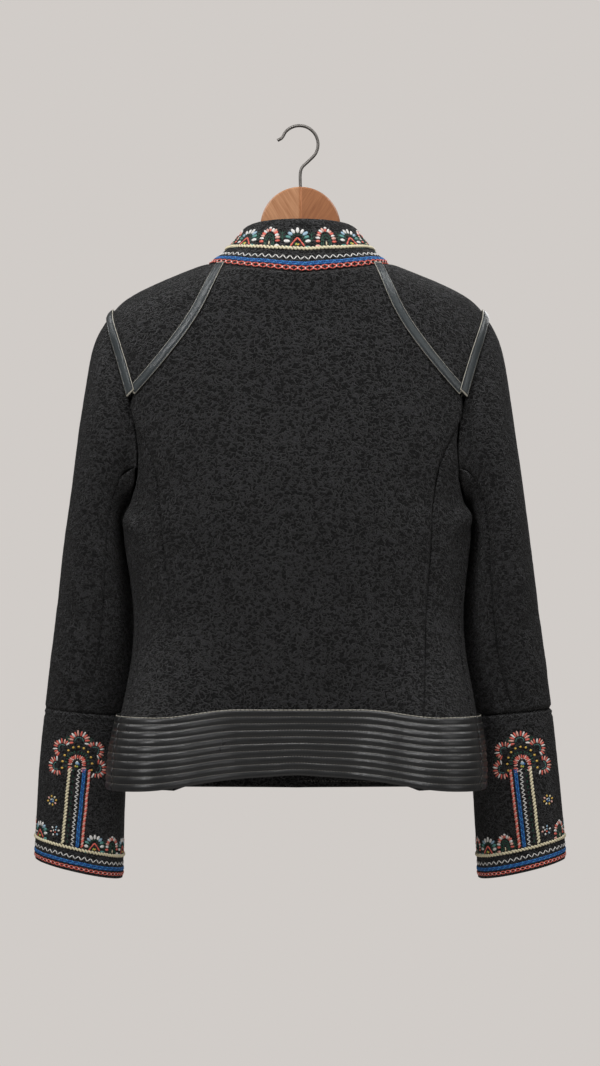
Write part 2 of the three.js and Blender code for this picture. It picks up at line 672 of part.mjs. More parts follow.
add('back', wall(backPanel()), WOOL);
addPair('side_back', sideBackPanel(), WOOL);
addPair('front', frontPanel(), WOOL);
addPair('shoulder', shoulderPanel(), WOOL);
addPair('sleeve_top', sleevePanel(-9, 18), WOOL, { part: 'sleeve' });
addPair('sleeve_under', sleevePanel(9, 6), WOOL, { part: 'sleeve' });
addPair('cuff', cuffWall(), WOOL, { part: 'sleeve', closed: true });
add('collar', wall(collarWall()), WOOL);
addPair('yoke_strip_back', yokeStrip(1), LEATHER, onPanel);
addPair('yoke_strip_front', yokeStrip(-1), LEATHER, onPanel);
addPair('armhole_strip', armholeStrip(), LEATHER, onPanel);
add('hem_band_back', wall(bandGrid(bandBackAngles), bandOnPanel), QUILTED);
addPair('hem_band_front', bandGrid(bandFrontAngles), QUILTED, bandOnPanel);

const half = clean(hangerHalf());
add('hanger_left', half, WOOD);
const { array } = half.attributes.position;
const mirrored = Array.from(array, (value, i) => (i % 3 === 0 ? -value : value));
add('hanger_right', outward(mirrored, Array.from(half.index.array)), WOOD);
add('hook', hookWire(), STEEL);

export default jacket;
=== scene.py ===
import math
import random

import bmesh
import bpy
import numpy as np
from mathutils import Matrix, Vector, noise
from mathutils.bvhtree import BVHTree


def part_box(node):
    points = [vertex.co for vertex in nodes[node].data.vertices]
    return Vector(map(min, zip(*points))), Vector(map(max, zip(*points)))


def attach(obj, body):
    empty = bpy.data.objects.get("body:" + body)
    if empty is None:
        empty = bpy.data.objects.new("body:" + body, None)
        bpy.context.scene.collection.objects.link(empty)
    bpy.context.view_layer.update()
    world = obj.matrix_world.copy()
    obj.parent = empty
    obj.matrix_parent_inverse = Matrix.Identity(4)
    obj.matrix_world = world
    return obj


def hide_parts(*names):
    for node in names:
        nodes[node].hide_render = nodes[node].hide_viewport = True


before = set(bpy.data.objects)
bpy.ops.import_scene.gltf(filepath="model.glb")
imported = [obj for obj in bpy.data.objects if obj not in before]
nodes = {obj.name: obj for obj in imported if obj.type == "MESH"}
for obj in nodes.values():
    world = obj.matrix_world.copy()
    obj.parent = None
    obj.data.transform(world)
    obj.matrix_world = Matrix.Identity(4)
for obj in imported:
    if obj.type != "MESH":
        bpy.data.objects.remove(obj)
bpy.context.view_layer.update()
draw = random.Random(7)

# ------------------------------------------------------------------ sizes, in metres
MM = 0.001
MERGE = 0.02 * MM
WOOL = 2.4 * MM
LEATHER = 1.5 * MM
BAND = 1.9 * MM
SEAM_FIND = 2.4 * MM
SEAM_REACH = 4.5 * MM
SEAM_DEPTH = 1.3 * MM
SEAM_LINE, SEAM_LINE_WIDTH = 1.4 * MM, 1.2 * MM
LEFT_SEAM_SHARE = 0.45
PUCKER, PUCKER_REACH, PUCKER_SIZE = 0.55 * MM, 16 * MM, 11 * MM
CUFF_ROW_INSET = 6.8 * MM
ROW_DEPTH, ROW_WIDTH = 1.1 * MM, 1.7 * MM
ROLL_DEPTH, ROLL_REACH = 0.8 * MM, 5.0 * MM
EDGE_WAVE, EDGE_WAVE_REACH, EDGE_WAVE_SIZE = 0.35 * MM, 22 * MM, 19 * MM
TUFT_HEIGHT, TUFT_SIZE = 0.22 * MM, 3.4 * MM
SWELL_HEIGHT, SWELL_SIZE = 0.8 * MM, 60 * MM
FIT_INSIDE = 2.5 * MM
FIT_EDGE = 0.8 * MM
QUILT_ROWS = 10
QUILT_PUFF = 1.6 * MM
STRIP_CROWN_REACH = 4 * MM
GROOVE_INSET, GROOVE_WIDTH = 1.7 * MM, 0.55 * MM
STITCH_INSET = 1.75 * MM
HEAP_SIZE = 120
HAND_WANDER, HAND_WANDER_SIZE = 0.45, 13 * MM
STRAND_STRETCH = (2.0, 2.0, 1.0)
CAMERA_AWAY = 2.7
PICTURE_HEIGHT = 1.146

# ------------------------------------------------------------------ node groups and materials


class Tree:
    """Adds nodes to one node tree, each wired as it is made."""

    def __init__(self, tree):
        self.tree = tree
        self.place = 0

    def add(self, kind, settings=None, **wires):
        node = self.tree.nodes.new(kind)
        self.place += 1
        node.location = (180 * self.place, 0)
        for name, value in (settings or {}).items():
            setattr(node, name, value)
        for name, value in wires.items():
            key = int(name[1:]) if name[0] == "i" and name[1:].isdigit() else name.replace("_", " ")
            socket = node.inputs[key]
            if isinstance(value, bpy.types.NodeSocket):
                self.tree.links.new(value, socket)
            else:
                socket.default_value = value
        return node

    def math(self, operation, a, b=0.0, clamp=False):
        node = self.add("ShaderNodeMath", {"operation": operation, "use_clamp": clamp}, i0=a, i1=b)
        return node.outputs[0]

    def blend(self, factor, a, b):
        node = self.add("ShaderNodeMix", {"data_type": "RGBA"}, i0=factor, i6=a, i7=b)
        return node.outputs[2]

    def noise(self, vector, scale, detail=1.0, roughness=0.5, output=0):
        made = self.add("ShaderNodeTexNoise", None, Vector=vector, Scale=scale, Detail=detail,
                        Roughness=roughness)
        return made.outputs[output]

    def shift(self, vector, by, size):
        centred = self.add("ShaderNodeVectorMath", {"operation": "SUBTRACT"}, i0=by, i1=(0.5, 0.5, 0.5))
        sized = self.add("ShaderNodeVectorMath", {"operation": "SCALE"}, i0=centred.outputs[0], Scale=size)
        return self.add("ShaderNodeVectorMath", None, i0=vector, i1=sized.outputs[0]).outputs[0]


def new_group(name, vectors, values):
    """A shader node group that takes vectors and puts out plain values."""
    group = bpy.data.node_groups.new(name, "ShaderNodeTree")
    for label in vectors:
        group.interface.new_socket(label, in_out="INPUT", socket_type="NodeSocketVector")
    for label in values:
        group.interface.new_socket(label, in_out="OUTPUT", socket_type="NodeSocketFloat")
    tree = Tree(group)
    return group, tree, group.nodes.new("NodeGroupInput"), group.nodes.new("NodeGroupOutput")


def curled_strands(tree, vector, scale, width, broken, slope):
    """Rounded curly lines that mostly lie across the cloth, broken up into short lengths."""
    laid = tree.add("ShaderNodeMapping", {"vector_type": "TEXTURE"}, Vector=vector, Scale=STRAND_STRETCH,
                    Location=(broken * 0.7, broken * 0.4, 0.0), Rotation=(0.0, slope, 0.0))
    vector = laid.outputs[0]
    field = tree.noise(vector, scale, 0.5)
    away = tree.math("DIVIDE", tree.math("SUBTRACT", field, 0.5), width)
    line = tree.math("SUBTRACT", 1.0, tree.math("MULTIPLY", away, away), clamp=True)
    gaps = tree.noise(vector, scale * 1.15, 0.0, output=1)
    share = tree.add("ShaderNodeSeparateXYZ", None, Vector=gaps).outputs[broken]
    kept = tree.math("MULTIPLY", tree.math("SUBTRACT", share, 0.4), 8.0, clamp=True)
    return tree.math("MULTIPLY", line, kept)


def make_nap():
    """Short curled strands lying every way, with finer fluff between them."""
    group, tree, entry, out = new_group(
        "wool_nap",
        ["Vector"],
        ["Strands", "Height", "Patches"],
    )
    vector = entry.outputs[0]
    warp = tree.noise(vector, 210.0, 1.0, output=1)
    bent = tree.shift(vector, warp, 0.006)
    first = curled_strands(tree, bent, 270.0, 0.06, 0, 0.6)
    second = curled_strands(tree, bent, 310.0, 0.06, 1, -0.5)
    last = curled_strands(tree, bent, 240.0, 0.06, 2, 0.1)
    strands = tree.math("MAXIMUM", tree.math("MAXIMUM", first, second), last)
    fluff = tree.noise(vector, 900.0, 2.0)
    height = tree.math("ADD", strands, tree.math("MULTIPLY", fluff, 0.5))
    patches = tree.noise(vector, 16.0, 3.0)
    group.links.new(strands, out.inputs[0])
    group.links.new(height, out.inputs[1])
    group.links.new(patches, out.inputs[2])
    return group


def make_grain():
    """Fine pebble of finished leather, with a faint wear."""
    group, tree, entry, out = new_group(
        "leather_grain",
        ["Vector"],
        ["Height", "Wear"],
    )
    vector = entry.outputs[0]
    cells = tree.add("ShaderNodeTexVoronoi", None, Vector=vector, Scale=900.0)
    broad = tree.noise(vector, 260.0, 2.0)
    height = tree.math("ADD", tree.math("MULTIPLY", cells.outputs[0], 0.5), broad)
    wear = tree.noise(vector, 45.0, 3.0)
    group.links.new(height, out.inputs[0])
    group.links.new(wear, out.inputs[1])
    return group


def make_fibre():
    """Fine uneven fibres along every yarn."""
    group, tree, entry, out = new_group("yarn_fibre", ["Vector"], ["Height"])
    group.links.new(tree.noise(entry.outputs[0], 1500.0, 2.0), out.inputs[0])
    return group


def make_figure():
    """Long streaks of wood grain, laid at the slant that is asked for."""
    group, tree, entry, out = new_group(
        "wood_figure",
        ["Vector", "Slant"],
        ["Share", "Fine"],
    )
    slant = tree.add("ShaderNodeMapping", None, Vector=entry.outputs[0], Rotation=entry.outputs[1])
    bent = tree.shift(slant.outputs[0], tree.noise(slant.outputs[0], 14.0, 2.0, output=1), 0.004)
    stretch = tree.add("ShaderNodeMapping", None, Vector=bent, Scale=(0.05, 1.0, 1.0))
    broad = tree.noise(stretch.outputs[0], 420.0, 3.0, 0.6)
    fine = tree.noise(stretch.outputs[0], 1300.0, 2.0, 0.6)
    share = tree.math("ADD", tree.math("MULTIPLY", broad, 1.7), tree.math("MULTIPLY", fine, 1.0))
    group.links.new(tree.math("SUBTRACT", share, 0.85, clamp=True), out.inputs[0])
    group.links.new(fine, out.inputs[1])
    return group


def new_material(name):
    material = bpy.data.materials.new(name)
    material.use_nodes = True
    material.node_tree.nodes.clear()
    tree = Tree(material.node_tree)
    coords = tree.add("ShaderNodeTexCoord").outputs["Object"]
    return material, tree, coords


def close(tree, shader):
    tree.add("ShaderNodeOutputMaterial", None, Surface=shader.outputs[0])


NAP = make_nap()
GRAIN = make_grain()
FIBRE = make_fibre()
FIGURE = make_figure()


def make_wool():
    """Matte black wool. The colour contrast between its curled strands and the ground stands in for the
    light and shade of their relief: the strands are painted paler, a painted highlight on their crowns,
    while their bump stays real; broad random patches vary the tone a little.
    """
    material, tree, coords = new_material("wool")
    nap = tree.add("ShaderNodeGroup", {"node_tree": NAP}, Vector=coords)
    # painted highlight: the strongest strands are painted paler, as if their crowns caught the light; the
    # patches added below are random tone
    strand_highlight = tree.math("MULTIPLY", tree.math("MULTIPLY", nap.outputs[0], nap.outputs[0]), 0.8)
    share = tree.math("ADD", strand_highlight, tree.math("MULTIPLY", nap.outputs[2], 0.1), clamp=True)
    colour = tree.blend(share, (0.003, 0.003, 0.0032, 1), (0.05, 0.05, 0.054, 1))
    bump = tree.add("ShaderNodeBump", None, Strength=1.0, Distance=0.006, Height=nap.outputs[1])
    shader = tree.add("ShaderNodeBsdfPrincipled", None, Base_Color=colour, Roughness=0.92,
                      Normal=bump.outputs[0], Sheen_Weight=0.12, Sheen_Roughness=0.5,
                      Specular_IOR_Level=0.18)
    close(tree, shader)
    return material


def make_leather(name, base, worn, rough, deep):
    """Satin leather: a darker base, paler where it is worn, with a pebble this deep."""
    material, tree, coords = new_material(name)
    grain = tree.add("ShaderNodeGroup", {"node_tree": GRAIN}, Vector=coords)
    colour = tree.blend(grain.outputs[1], base, worn)
    bump = tree.add("ShaderNodeBump", None, Strength=0.8, Distance=deep, Height=grain.outputs[0])
    gloss = tree.math("ADD", rough, tree.math("MULTIPLY", grain.outputs[1], 0.12))
    shader = tree.add("ShaderNodeBsdfPrincipled", None, Base_Color=colour, Roughness=gloss,
                      Normal=bump.outputs[0], Specular_IOR_Level=0.5)
    close(tree, shader)
    return material


def make_thread(name, colour, rough=0.55):
    """Yarn or a raw leather edge, finely streaked round one colour."""
    material, tree, coords = new_material(name)
    fine = tree.add("ShaderNodeGroup", {"node_tree": FIBRE}, Vector=coords).outputs[0]
    darker = tuple(0.62 * c for c in colour[:3]) + (1,)
    lighter = tuple(min(1.0, 1.15 * c) for c in colour[:3]) + (1,)
    bump = tree.add("ShaderNodeBump", None, Strength=0.5, Distance=0.0002, Height=fine)
    shader = tree.add("ShaderNodeBsdfPrincipled", None, Base_Color=tree.blend(fine, darker, lighter),
                      Roughness=rough, Normal=bump.outputs[0])
    close(tree, shader)
    return material


def make_wood(name, side, pale, deep):
    """Lacquered beech whose grain slants down and away from the glued middle."""
    material, tree, coords = new_material(name)
    figure = tree.add("ShaderNodeGroup", {"node_tree": FIGURE}, Vector=coords, Slant=(0, side * 1.02, 0))
    bump = tree.add("ShaderNodeBump", None, Strength=0.15, Distance=0.0002, Height=figure.outputs[1])
    colour = tree.blend(figure.outputs[0], deep, pale)
    shader = tree.add("ShaderNodeBsdfPrincipled", None, Base_Color=colour,
                      Roughness=0.42, Normal=bump.outputs[0], Coat_Weight=0.15, Coat_Roughness=0.3)
    close(tree, shader)
    return material


def make_steel():
    material, tree, coords = new_material("steel")
    fine = tree.noise(coords, 120.0, 1.0)
    rough = tree.math("ADD", 0.48, tree.math("MULTIPLY", fine, 0.1))
    shader = tree.add("ShaderNodeBsdfPrincipled", None, Base_Color=(0.17, 0.16, 0.15, 1), Metallic=1.0,
                      Roughness=rough)
    close(tree, shader)
    return material


WOOL_CLOTH = make_wool()
STRIP_LEATHER = make_leather(
    "strip_leather", (0.036, 0.043, 0.046, 1), (0.066, 0.077, 0.082, 1), rough=0.14, deep=0.5 * MM)
BAND_LEATHER = make_leather(
    "band_leather", (0.015, 0.0156, 0.0162, 1), (0.026, 0.027, 0.028, 1), rough=0.24, deep=0.3 * MM)
CUT_EDGE = make_thread("cut_edge", (0.56, 0.53, 0.45, 1), 0.8)
DARK_THREAD = make_thread("dark_thread", (0.012, 0.012, 0.014, 1))
BAND_THREAD = make_thread("band_thread", (0.3, 0.28, 0.24, 1))
THREADS = {
    "cream": make_thread("cream_cord", (0.95, 0.81, 0.56, 1)),
    "white": make_thread("white_yarn", (0.98, 0.93, 0.86, 1)),
    "coral": make_thread("coral_yarn", (0.86, 0.165, 0.12, 1)),
    "pink": make_thread("pink_yarn", (0.95, 0.5, 0.42, 1)),
    "blue": make_thread("blue_yarn", (0.012, 0.12, 0.42, 1)),
    "blue_light": make_thread("light_blue_yarn", (0.045, 0.28, 0.66, 1)),
    "pale_blue": make_thread("pale_blue_yarn", (0.38, 0.57, 0.72, 1)),
    "yellow": make_thread("yellow_yarn", (0.85, 0.54, 0.1, 1)),
    "lime": make_thread("lime_yarn", (0.42, 0.54, 0.1, 1)),
    "dark_green": make_thread("dark_green_yarn", (0.01, 0.085, 0.05, 1)),
    "teal": make_thread("teal_yarn", (0.11, 0.33, 0.3, 1)),
    "umber": make_thread("umber_yarn", (0.1, 0.05, 0.02, 1)),
}
# The right half's pale and deep colours are painted darker than the left half's: painted shade on the half
# that turns away from the key light. Each half's grain slants its own way.
WOOD_LEFT = make_wood("wood_left", 1, (0.62, 0.32, 0.165, 1), (0.38, 0.155, 0.065, 1))
WOOD_RIGHT_PAINTED_SHADE = make_wood("wood_right_painted_shade", -1, (0.47, 0.2, 0.085, 1), (0.27, 0.095, 0.036, 1))
STEEL = make_steel()

# ------------------------------------------------------------------ meshes


def new_object(name, bm, materials):
    mesh = bpy.data.meshes.new(name)
    bm.to_mesh(mesh)
    bm.free()
    made = bpy.data.objects.new(name, mesh)
    bpy.context.scene.collection.objects.link(made)
    for material in materials:
        mesh.materials.append(material)
    return made


def outer_layer(node):
    """The outer face of a piece's wall as a clean grid of quads."""
    bm = bmesh.new()
    bm.from_mesh(nodes[node].data)
    bmesh.ops.remove_doubles(bm, verts=bm.verts[:], dist=MERGE)
    bmesh.ops.recalc_face_normals(bm, faces=bm.faces[:])
    bmesh.ops.join_triangles(
        bm, faces=bm.faces[:], cmp_seam=False, cmp_sharp=False, cmp_uvs=False, cmp_vcols=False,
        cmp_materials=False, angle_face_threshold=math.pi, angle_shape_threshold=math.pi,
        topology_influence=2.0)
    bm.faces.ensure_lookup_table()
    seen, islands = set(), []
    for start in bm.faces:
        if start.index in seen:
            continue
        seen.add(start.index)
        island, todo = [], [start]
        while todo:
            face = todo.pop()
            island.append(face)
            for edge in face.edges:
                for other in edge.link_faces:
                    if other.index in seen or edge.calc_face_angle(0) > 0.95:
                        continue
                    seen.add(other.index)
                    todo.append(other)
        islands.append(island)
    islands.sort(key=lambda island: sum(face.calc_area() for face in island))
    keep = set(islands[-1])
    bmesh.ops.delete(bm, geom=[face for face in bm.faces if face not in keep], context="FACES")
    return bm


def evaluated_mesh(made):
    graph = bpy.context.evaluated_depsgraph_get()
    return bpy.data.meshes.new_from_object(made.evaluated_get(graph))


def places(mesh, what="co"):
    out = np.zeros(len(mesh.vertices) * 3)
    mesh.vertices.foreach_get(what, out)
    return out.reshape(-1, 3)


def smooth_layer(name, node, levels, materials):
    """A dense smooth sheet through the corners of the CAD piece's outer face."""
    made = new_object(name, outer_layer(node), materials)
    fixed = places(made.data)
    moved = fixed.copy()
    limit = np.full(len(fixed), FIT_INSIDE)
    limit[np.unique(edge_lines(made.data))] = FIT_EDGE
    subdivide = made.modifiers.new("smooth", "SUBSURF")
    subdivide.boundary_smooth = "PRESERVE_CORNERS"
    subdivide.levels = subdivide.render_levels = 1
    for _ in range(4):
        made.data.vertices.foreach_set("co", moved.ravel())
        made.data.update()
        mesh = evaluated_mesh(made)
        moved += fixed - places(mesh)[:len(fixed)]
        bpy.data.meshes.remove(mesh)
        reach = np.linalg.norm(moved - fixed, axis=1)[:, None]
        moved = fixed + (moved - fixed) * np.minimum(1, limit[:, None] / np.maximum(reach, 1e-9))
    made.data.vertices.foreach_set("co", moved.ravel())
    made.data.update()
    subdivide.levels = subdivide.render_levels = levels
    mesh = evaluated_mesh(made)
    made.modifiers.clear()
    coarse = made.data
    made.data = mesh
    bpy.data.meshes.remove(coarse)
    mesh.name = name
    return made


def edge_lines(mesh):
    """The two vertices of every open edge of a sheet."""
    count = np.zeros(len(mesh.edges), int)
    loops = np.zeros(len(mesh.loops), int)
    mesh.loops.foreach_get("edge_index", loops)
    np.add.at(count, loops, 1)
    ends = np.zeros(len(mesh.edges) * 2, int)
    mesh.edges.foreach_get("vertices", ends)
    return ends.reshape(-1, 2)[count == 1]


def distance_to(points, starts, ends):
    """Distance from each point to the nearest of the straight pieces, and how far along it."""
    best = np.full(len(points), 1e9)
    share = np.zeros(len(points))
    which = np.zeros(len(points), int)
    for index, (a, b) in enumerate(zip(starts, ends)):
        along = b - a
        t = np.clip((points - a) @ along / max(along @ along, 1e-12), 0, 1)
        gap = np.linalg.norm(points - a - t[:, None] * along, axis=1)
        nearer = gap < best
        best[nearer] = gap[nearer]
        share[nearer] = t[nearer]
        which[nearer] = index
    return best, share, which


# ------------------------------------------------------------------ shaping the cloth


def hollow(points, normals, crease):
    """How far a soft trough (or, with a negative depth, a ridge) moves each point."""
    side, path, width, depth = crease
    path = np.array(path) * MM
    gap, share, which = distance_to(points[:, [0, 2]], path[:-1], path[1:])
    lengths = np.linalg.norm(path[1:] - path[:-1], axis=1)
    start = np.concatenate([[0], np.cumsum(lengths)])[:-1]
    along = (start[which] + share * lengths[which]) / lengths.sum()
    across = np.clip(1 - (gap / (width * MM)) ** 2, 0, 1) ** 2
    fade = np.clip(np.minimum(along, 1 - along) / 0.3, 0, 1)
    seen = np.clip(normals[:, 1] * side * 2.0 + 0.3, 0, 1)
    return depth * MM * across * fade * seen


def rough_field(points, size):
    """Smooth unevenness whose lumps are about this size."""
    return np.array([noise.noise(Vector(p) / size) for p in points])


def shape_cloth(made, partners, creases, second_row=0.0):
    """Closes the seams of a wool sheet, sinks them, rolls its open edges and lays its creases."""
    mesh = made.data
    points, normals = places(mesh), places(mesh, "normal")
    ends = edge_lines(mesh)
    edge_ids = np.unique(ends)
    gap, share, which = distance_to(points[edge_ids], partners[0], partners[1])
    sewn = edge_ids[gap < SEAM_FIND]
    mate = which[gap < SEAM_FIND]
    t = share[gap < SEAM_FIND][:, None]
    target = partners[0][mate] + t * (partners[1] - partners[0])[mate]
    is_sewn = np.isin(ends, sewn).all(axis=1)
    seam, open_edge = ends[is_sewn], ends[~is_sewn]
    push = np.zeros(len(points))
    if len(seam):
        near, _, _ = distance_to(points, points[seam[:, 0]], points[seam[:, 1]])
        sink = np.clip(1 - near / SEAM_REACH, 0, 1) ** 1.6
        pucker = np.clip(1 - near / PUCKER_REACH, 0, 1) * rough_field(points, PUCKER_SIZE)
        line = SEAM_LINE * np.exp(-(near / SEAM_LINE_WIDTH) ** 2)
        pull = np.where(points[:, 0] > 0, LEFT_SEAM_SHARE, 1.0)
        push -= pull * (SEAM_DEPTH * sink + line) + PUCKER * pucker
        if second_row:
            push -= ROW_DEPTH * np.exp(-((near - second_row) / ROW_WIDTH) ** 2)
    if len(open_edge):
        near, _, _ = distance_to(points, points[open_edge[:, 0]], points[open_edge[:, 1]])
        push -= ROLL_DEPTH * np.clip(1 - near / ROLL_REACH, 0, 1) ** 2
        wave = np.clip(1 - near / EDGE_WAVE_REACH, 0, 1) * rough_field(points, EDGE_WAVE_SIZE)
        push += EDGE_WAVE * wave
    for crease in creases:
        push -= hollow(points, normals, crease)
    push += TUFT_HEIGHT * rough_field(points, TUFT_SIZE) + SWELL_HEIGHT * rough_field(points, SWELL_SIZE)
    moved = points + normals * push[:, None]
    if len(sewn):
        moved[sewn] += (target - points[sewn]) * 0.5
    mesh.vertices.foreach_set("co", moved.ravel())
    mesh.update()


def place_piece(made, node=None):
    """Puts a finished piece on the body, in place of its CAD node."""
    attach(made, "root")
    if node:
        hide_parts(node)


def thicken(made, wall, rim=0):
    """Gives a sheet its wall, laid inwards from its outer face."""
    solid = made.modifiers.new("wall", "SOLIDIFY")
    solid.thickness = wall
    solid.offset = -1.0
    solid.material_offset_rim = rim
    for face in made.data.polygons:
        face.use_smooth = True


def ordered_loops(mesh):
    """The open edges of a sheet as ordered runs of vertices."""
    after = {}
    for a, b in edge_lines(mesh):
        after.setdefault(int(a), []).append(int(b))
        after.setdefault(int(b), []).append(int(a))
    loops, used = [], set()
    for start in after:
        if start in used:
            continue
        loop, here = [start], start
        used.add(start)
        while True:
            ahead = [v for v in after[here] if v not in used]
            if not ahead:
                break
            here = ahead[0]
            used.add(here)
            loop.append(here)
        loops.append(loop)
    return loops


# side of the garment (1 back, -1 front), path of (x, z), half width and depth
CREASES = {
    "back": [
        (1, [(70, -235), (40, -300), (22, -370)], 24, 1.6),
        (1, [(-62, -240), (-38, -310), (-30, -360)], 20, 1.3),
        (1, [(-20, -470), (10, -520), (48, -560)], 18, 1.2),
        (1, [(-70, -520), (-40, -570), (-8, -600)], 15, -1.1),
        (1, [(86, -480), (74, -540), (70, -610)], 14, 1.4),
        (1, [(152, -325), (145, -430), (150, -530)], 8, -1.6),
        (1, [(-95, -430), (-88, -500), (-84, -590)], 16, -1.2),
    ],
    "side_back_left": [
        (1, [(176, -270), (174, -330), (178, -395)], 11, 6.0),
        (1, [(150, -420), (128, -470), (112, -520)], 15, 1.8),
        (1, [(140, -500), (122, -560), (118, -610)], 13, -1.6),
        (1, [(209, -393), (184, -424), (158, -438)], 13, -4.5),
    ],
    "side_back_right": [
        (1, [(-171, -270), (-169, -330), (-172, -370)], 10, 5.0),
        (1, [(-150, -425), (-128, -480), (-110, -515)], 14, 1.8),
        (1, [(-142, -520), (-122, -570), (-116, -600)], 12, -1.4),
        (1, [(-214, -386), (-182, -415), (-152, -440)], 15, -6.0),
    ],
    "front_left": [
        (-1, [(130, -330), (100, -410), (88, -500)], 24, 2.2),
        (-1, [(60, -480), (72, -560), (66, -640)], 20, -1.8),
        (-1, [(25, -300), (32, -380), (28, -450)], 18, 1.5),
    ],
    "front_right": [
        (-1, [(-126, -320), (-98, -400), (-84, -510)], 22, 2.0),
        (-1, [(-58, -500), (-70, -570), (-62, -650)], 18, -1.6),
        (-1, [(-22, -310), (-30, -370), (-24, -460)], 16, 1.3),
    ],
    "shoulder_left": [(1, [(120, -190), (128, -240), (138, -290)], 16, 1.3)],
    "shoulder_right": [(1, [(-118, -188), (-126, -236), (-134, -280)], 15, 1.2)],
    "sleeve_top_left": [
        (1, [(181, -272), (181, -330), (186, -410)], 11, 6.0),
        (1, [(236, -330), (222, -400), (226, -460)], 12, 1.8),
        (1, [(262, -500), (240, -530), (222, -540)], 13, 1.8),
        (1, [(270, -560), (252, -590), (232, -600)], 12, -1.5),
        (-1, [(240, -380), (226, -450), (230, -530)], 14, 2.0),
        (-1, [(262, -560), (240, -600), (226, -620)], 13, 1.8),
    ],
    "sleeve_top_right": [
        (1, [(-176, -272), (-175, -330), (-178, -385)], 10, 6.0),
        (1, [(-230, -330), (-218, -400), (-220, -470)], 12, 1.8),
        (1, [(-262, -510), (-240, -540), (-222, -555)], 13, 1.7),
        (1, [(-266, -570), (-250, -600), (-230, -612)], 12, -1.5),
        (-1, [(-238, -370), (-224, -440), (-228, -520)], 14, 2.0),
        (-1, [(-258, -570), (-238, -610), (-224, -630)], 13, 1.7),
    ],
    "sleeve_under_left": [(1, [(204, -470), (212, -530), (206, -600)], 12, 1.6)],
    "sleeve_under_right": [(1, [(-200, -480), (-208, -540), (-202, -610)], 12, 1.6)],
    "cuff_left": [
        (1, [(262, -700), (268, -740), (270, -780)], 14, 0.9),
        (-1, [(240, -690), (250, -750), (246, -800)], 16, 1.6),
    ],
    "cuff_right": [
        (1, [(-258, -700), (-264, -740), (-268, -780)], 14, 0.9),
        (-1, [(-238, -690), (-248, -750), (-244, -800)], 16, 1.6),
    ],
    "collar": [],
}

layers = {node: smooth_layer(node + "_cloth", node, 3, [WOOL_CLOTH]) for node in CREASES}
open_lines = {}
for node, made in layers.items():
    points = places(made.data)
    ends = edge_lines(made.data)
    open_lines[node] = (points[ends[:, 0]], points[ends[:, 1]])
for node, made in layers.items():
    others = [lines for other, lines in open_lines.items() if other != node]
    partners = (np.concatenate([a for a, _ in others]), np.concatenate([b for _, b in others]))
    shape_cloth(made, partners, CREASES[node], CUFF_ROW_INSET if node.startswith("cuff") else 0.0)
    thicken(made, WOOL)
    place_piece(made, node)

# ------------------------------------------------------------------ leather strips and hem band

# cut width and length, how finely the strip is divided, and the panels it is sewn to
STRIPS = {
    "yoke_strip_back_left": (0.0105, 0.16, 4, ["back", "shoulder_left"]),
    "yoke_strip_back_right": (0.0105, 0.16, 4, ["back", "shoulder_right"]),
    "yoke_strip_front_left": (0.0105, 0.16, 3, ["front_left", "shoulder_left"]),
    "yoke_strip_front_right": (0.0105, 0.16, 3, ["front_right", "shoulder_right"]),
    "armhole_strip_left": (0.0105, 0.26, 4, ["shoulder_left"]),
    "armhole_strip_right": (0.0105, 0.26, 4, ["shoulder_right"]),
}


def shape_strip(made):
    """Crowns a leather strip, draws it down along its two stitch lines and bares its cut edge."""
    mesh = made.data
    points, normals = places(mesh), places(mesh, "normal")
    ends = edge_lines(mesh)
    near, _, _ = distance_to(points, points[ends[:, 0]], points[ends[:, 1]])
    crown = 0.5 * np.clip(near / STRIP_CROWN_REACH, 0, 1) ** 0.7
    groove = 0.4 * np.exp(-((near - GROOVE_INSET) / GROOVE_WIDTH) ** 2)
    push = (crown - groove) * MM + 0.12 * MM * rough_field(points, 9 * MM)
    mesh.vertices.foreach_set("co", (points + normals * push[:, None]).ravel())
    mesh.update()
    for face in mesh.polygons:
        if min(near[v] for v in face.vertices) < 0.1 * MM:
            face.material_index = 1


strips = {}
for node in STRIPS:
    made = smooth_layer(node + "_leather", node, STRIPS[node][2], [STRIP_LEATHER, CUT_EDGE])
    shape_strip(made)
    thicken(made, LEATHER, rim=1)
    place_piece(made, node)
    strips[node] = made

# cut width, length and area, how finely the band is divided, the cuts that part each row,
# and the panel it is sewn to
BANDS = {
    "hem_band_back": (0.42, 0.085, 0.0322, 2, 7, ["back"]),
    "hem_band_front_left": (0.325, 0.09, 0.0247, 3, 3, ["front_left"]),
    "hem_band_front_right": (0.325, 0.09, 0.0247, 3, 3, ["front_right"]),
}


def band_share(mesh, points):
    """How far down the band each point lies, from 0 at its top edge to 1 at its bottom edge."""
    loop = max(ordered_loops(mesh), key=len)
    place = points[loop]
    ahead = np.roll(place, -1, axis=0) - np.roll(place, 1, axis=0)
    level = np.abs(ahead[:, 2]) < 0.75 * np.linalg.norm(ahead, axis=1)
    middle = np.median(place[:, 2])
    runs = []
    for upper in (True, False):
        pairs = [(loop[i], loop[(i + 1) % len(loop)]) for i in range(len(loop))
                 if level[i] and level[(i + 1) % len(loop)] and (place[i, 2] > middle) == upper]
        pairs = np.array(pairs)
        gap, _, _ = distance_to(points, points[pairs[:, 0]], points[pairs[:, 1]])
        runs.append(gap)
    return runs[0] / (runs[0] + runs[1])


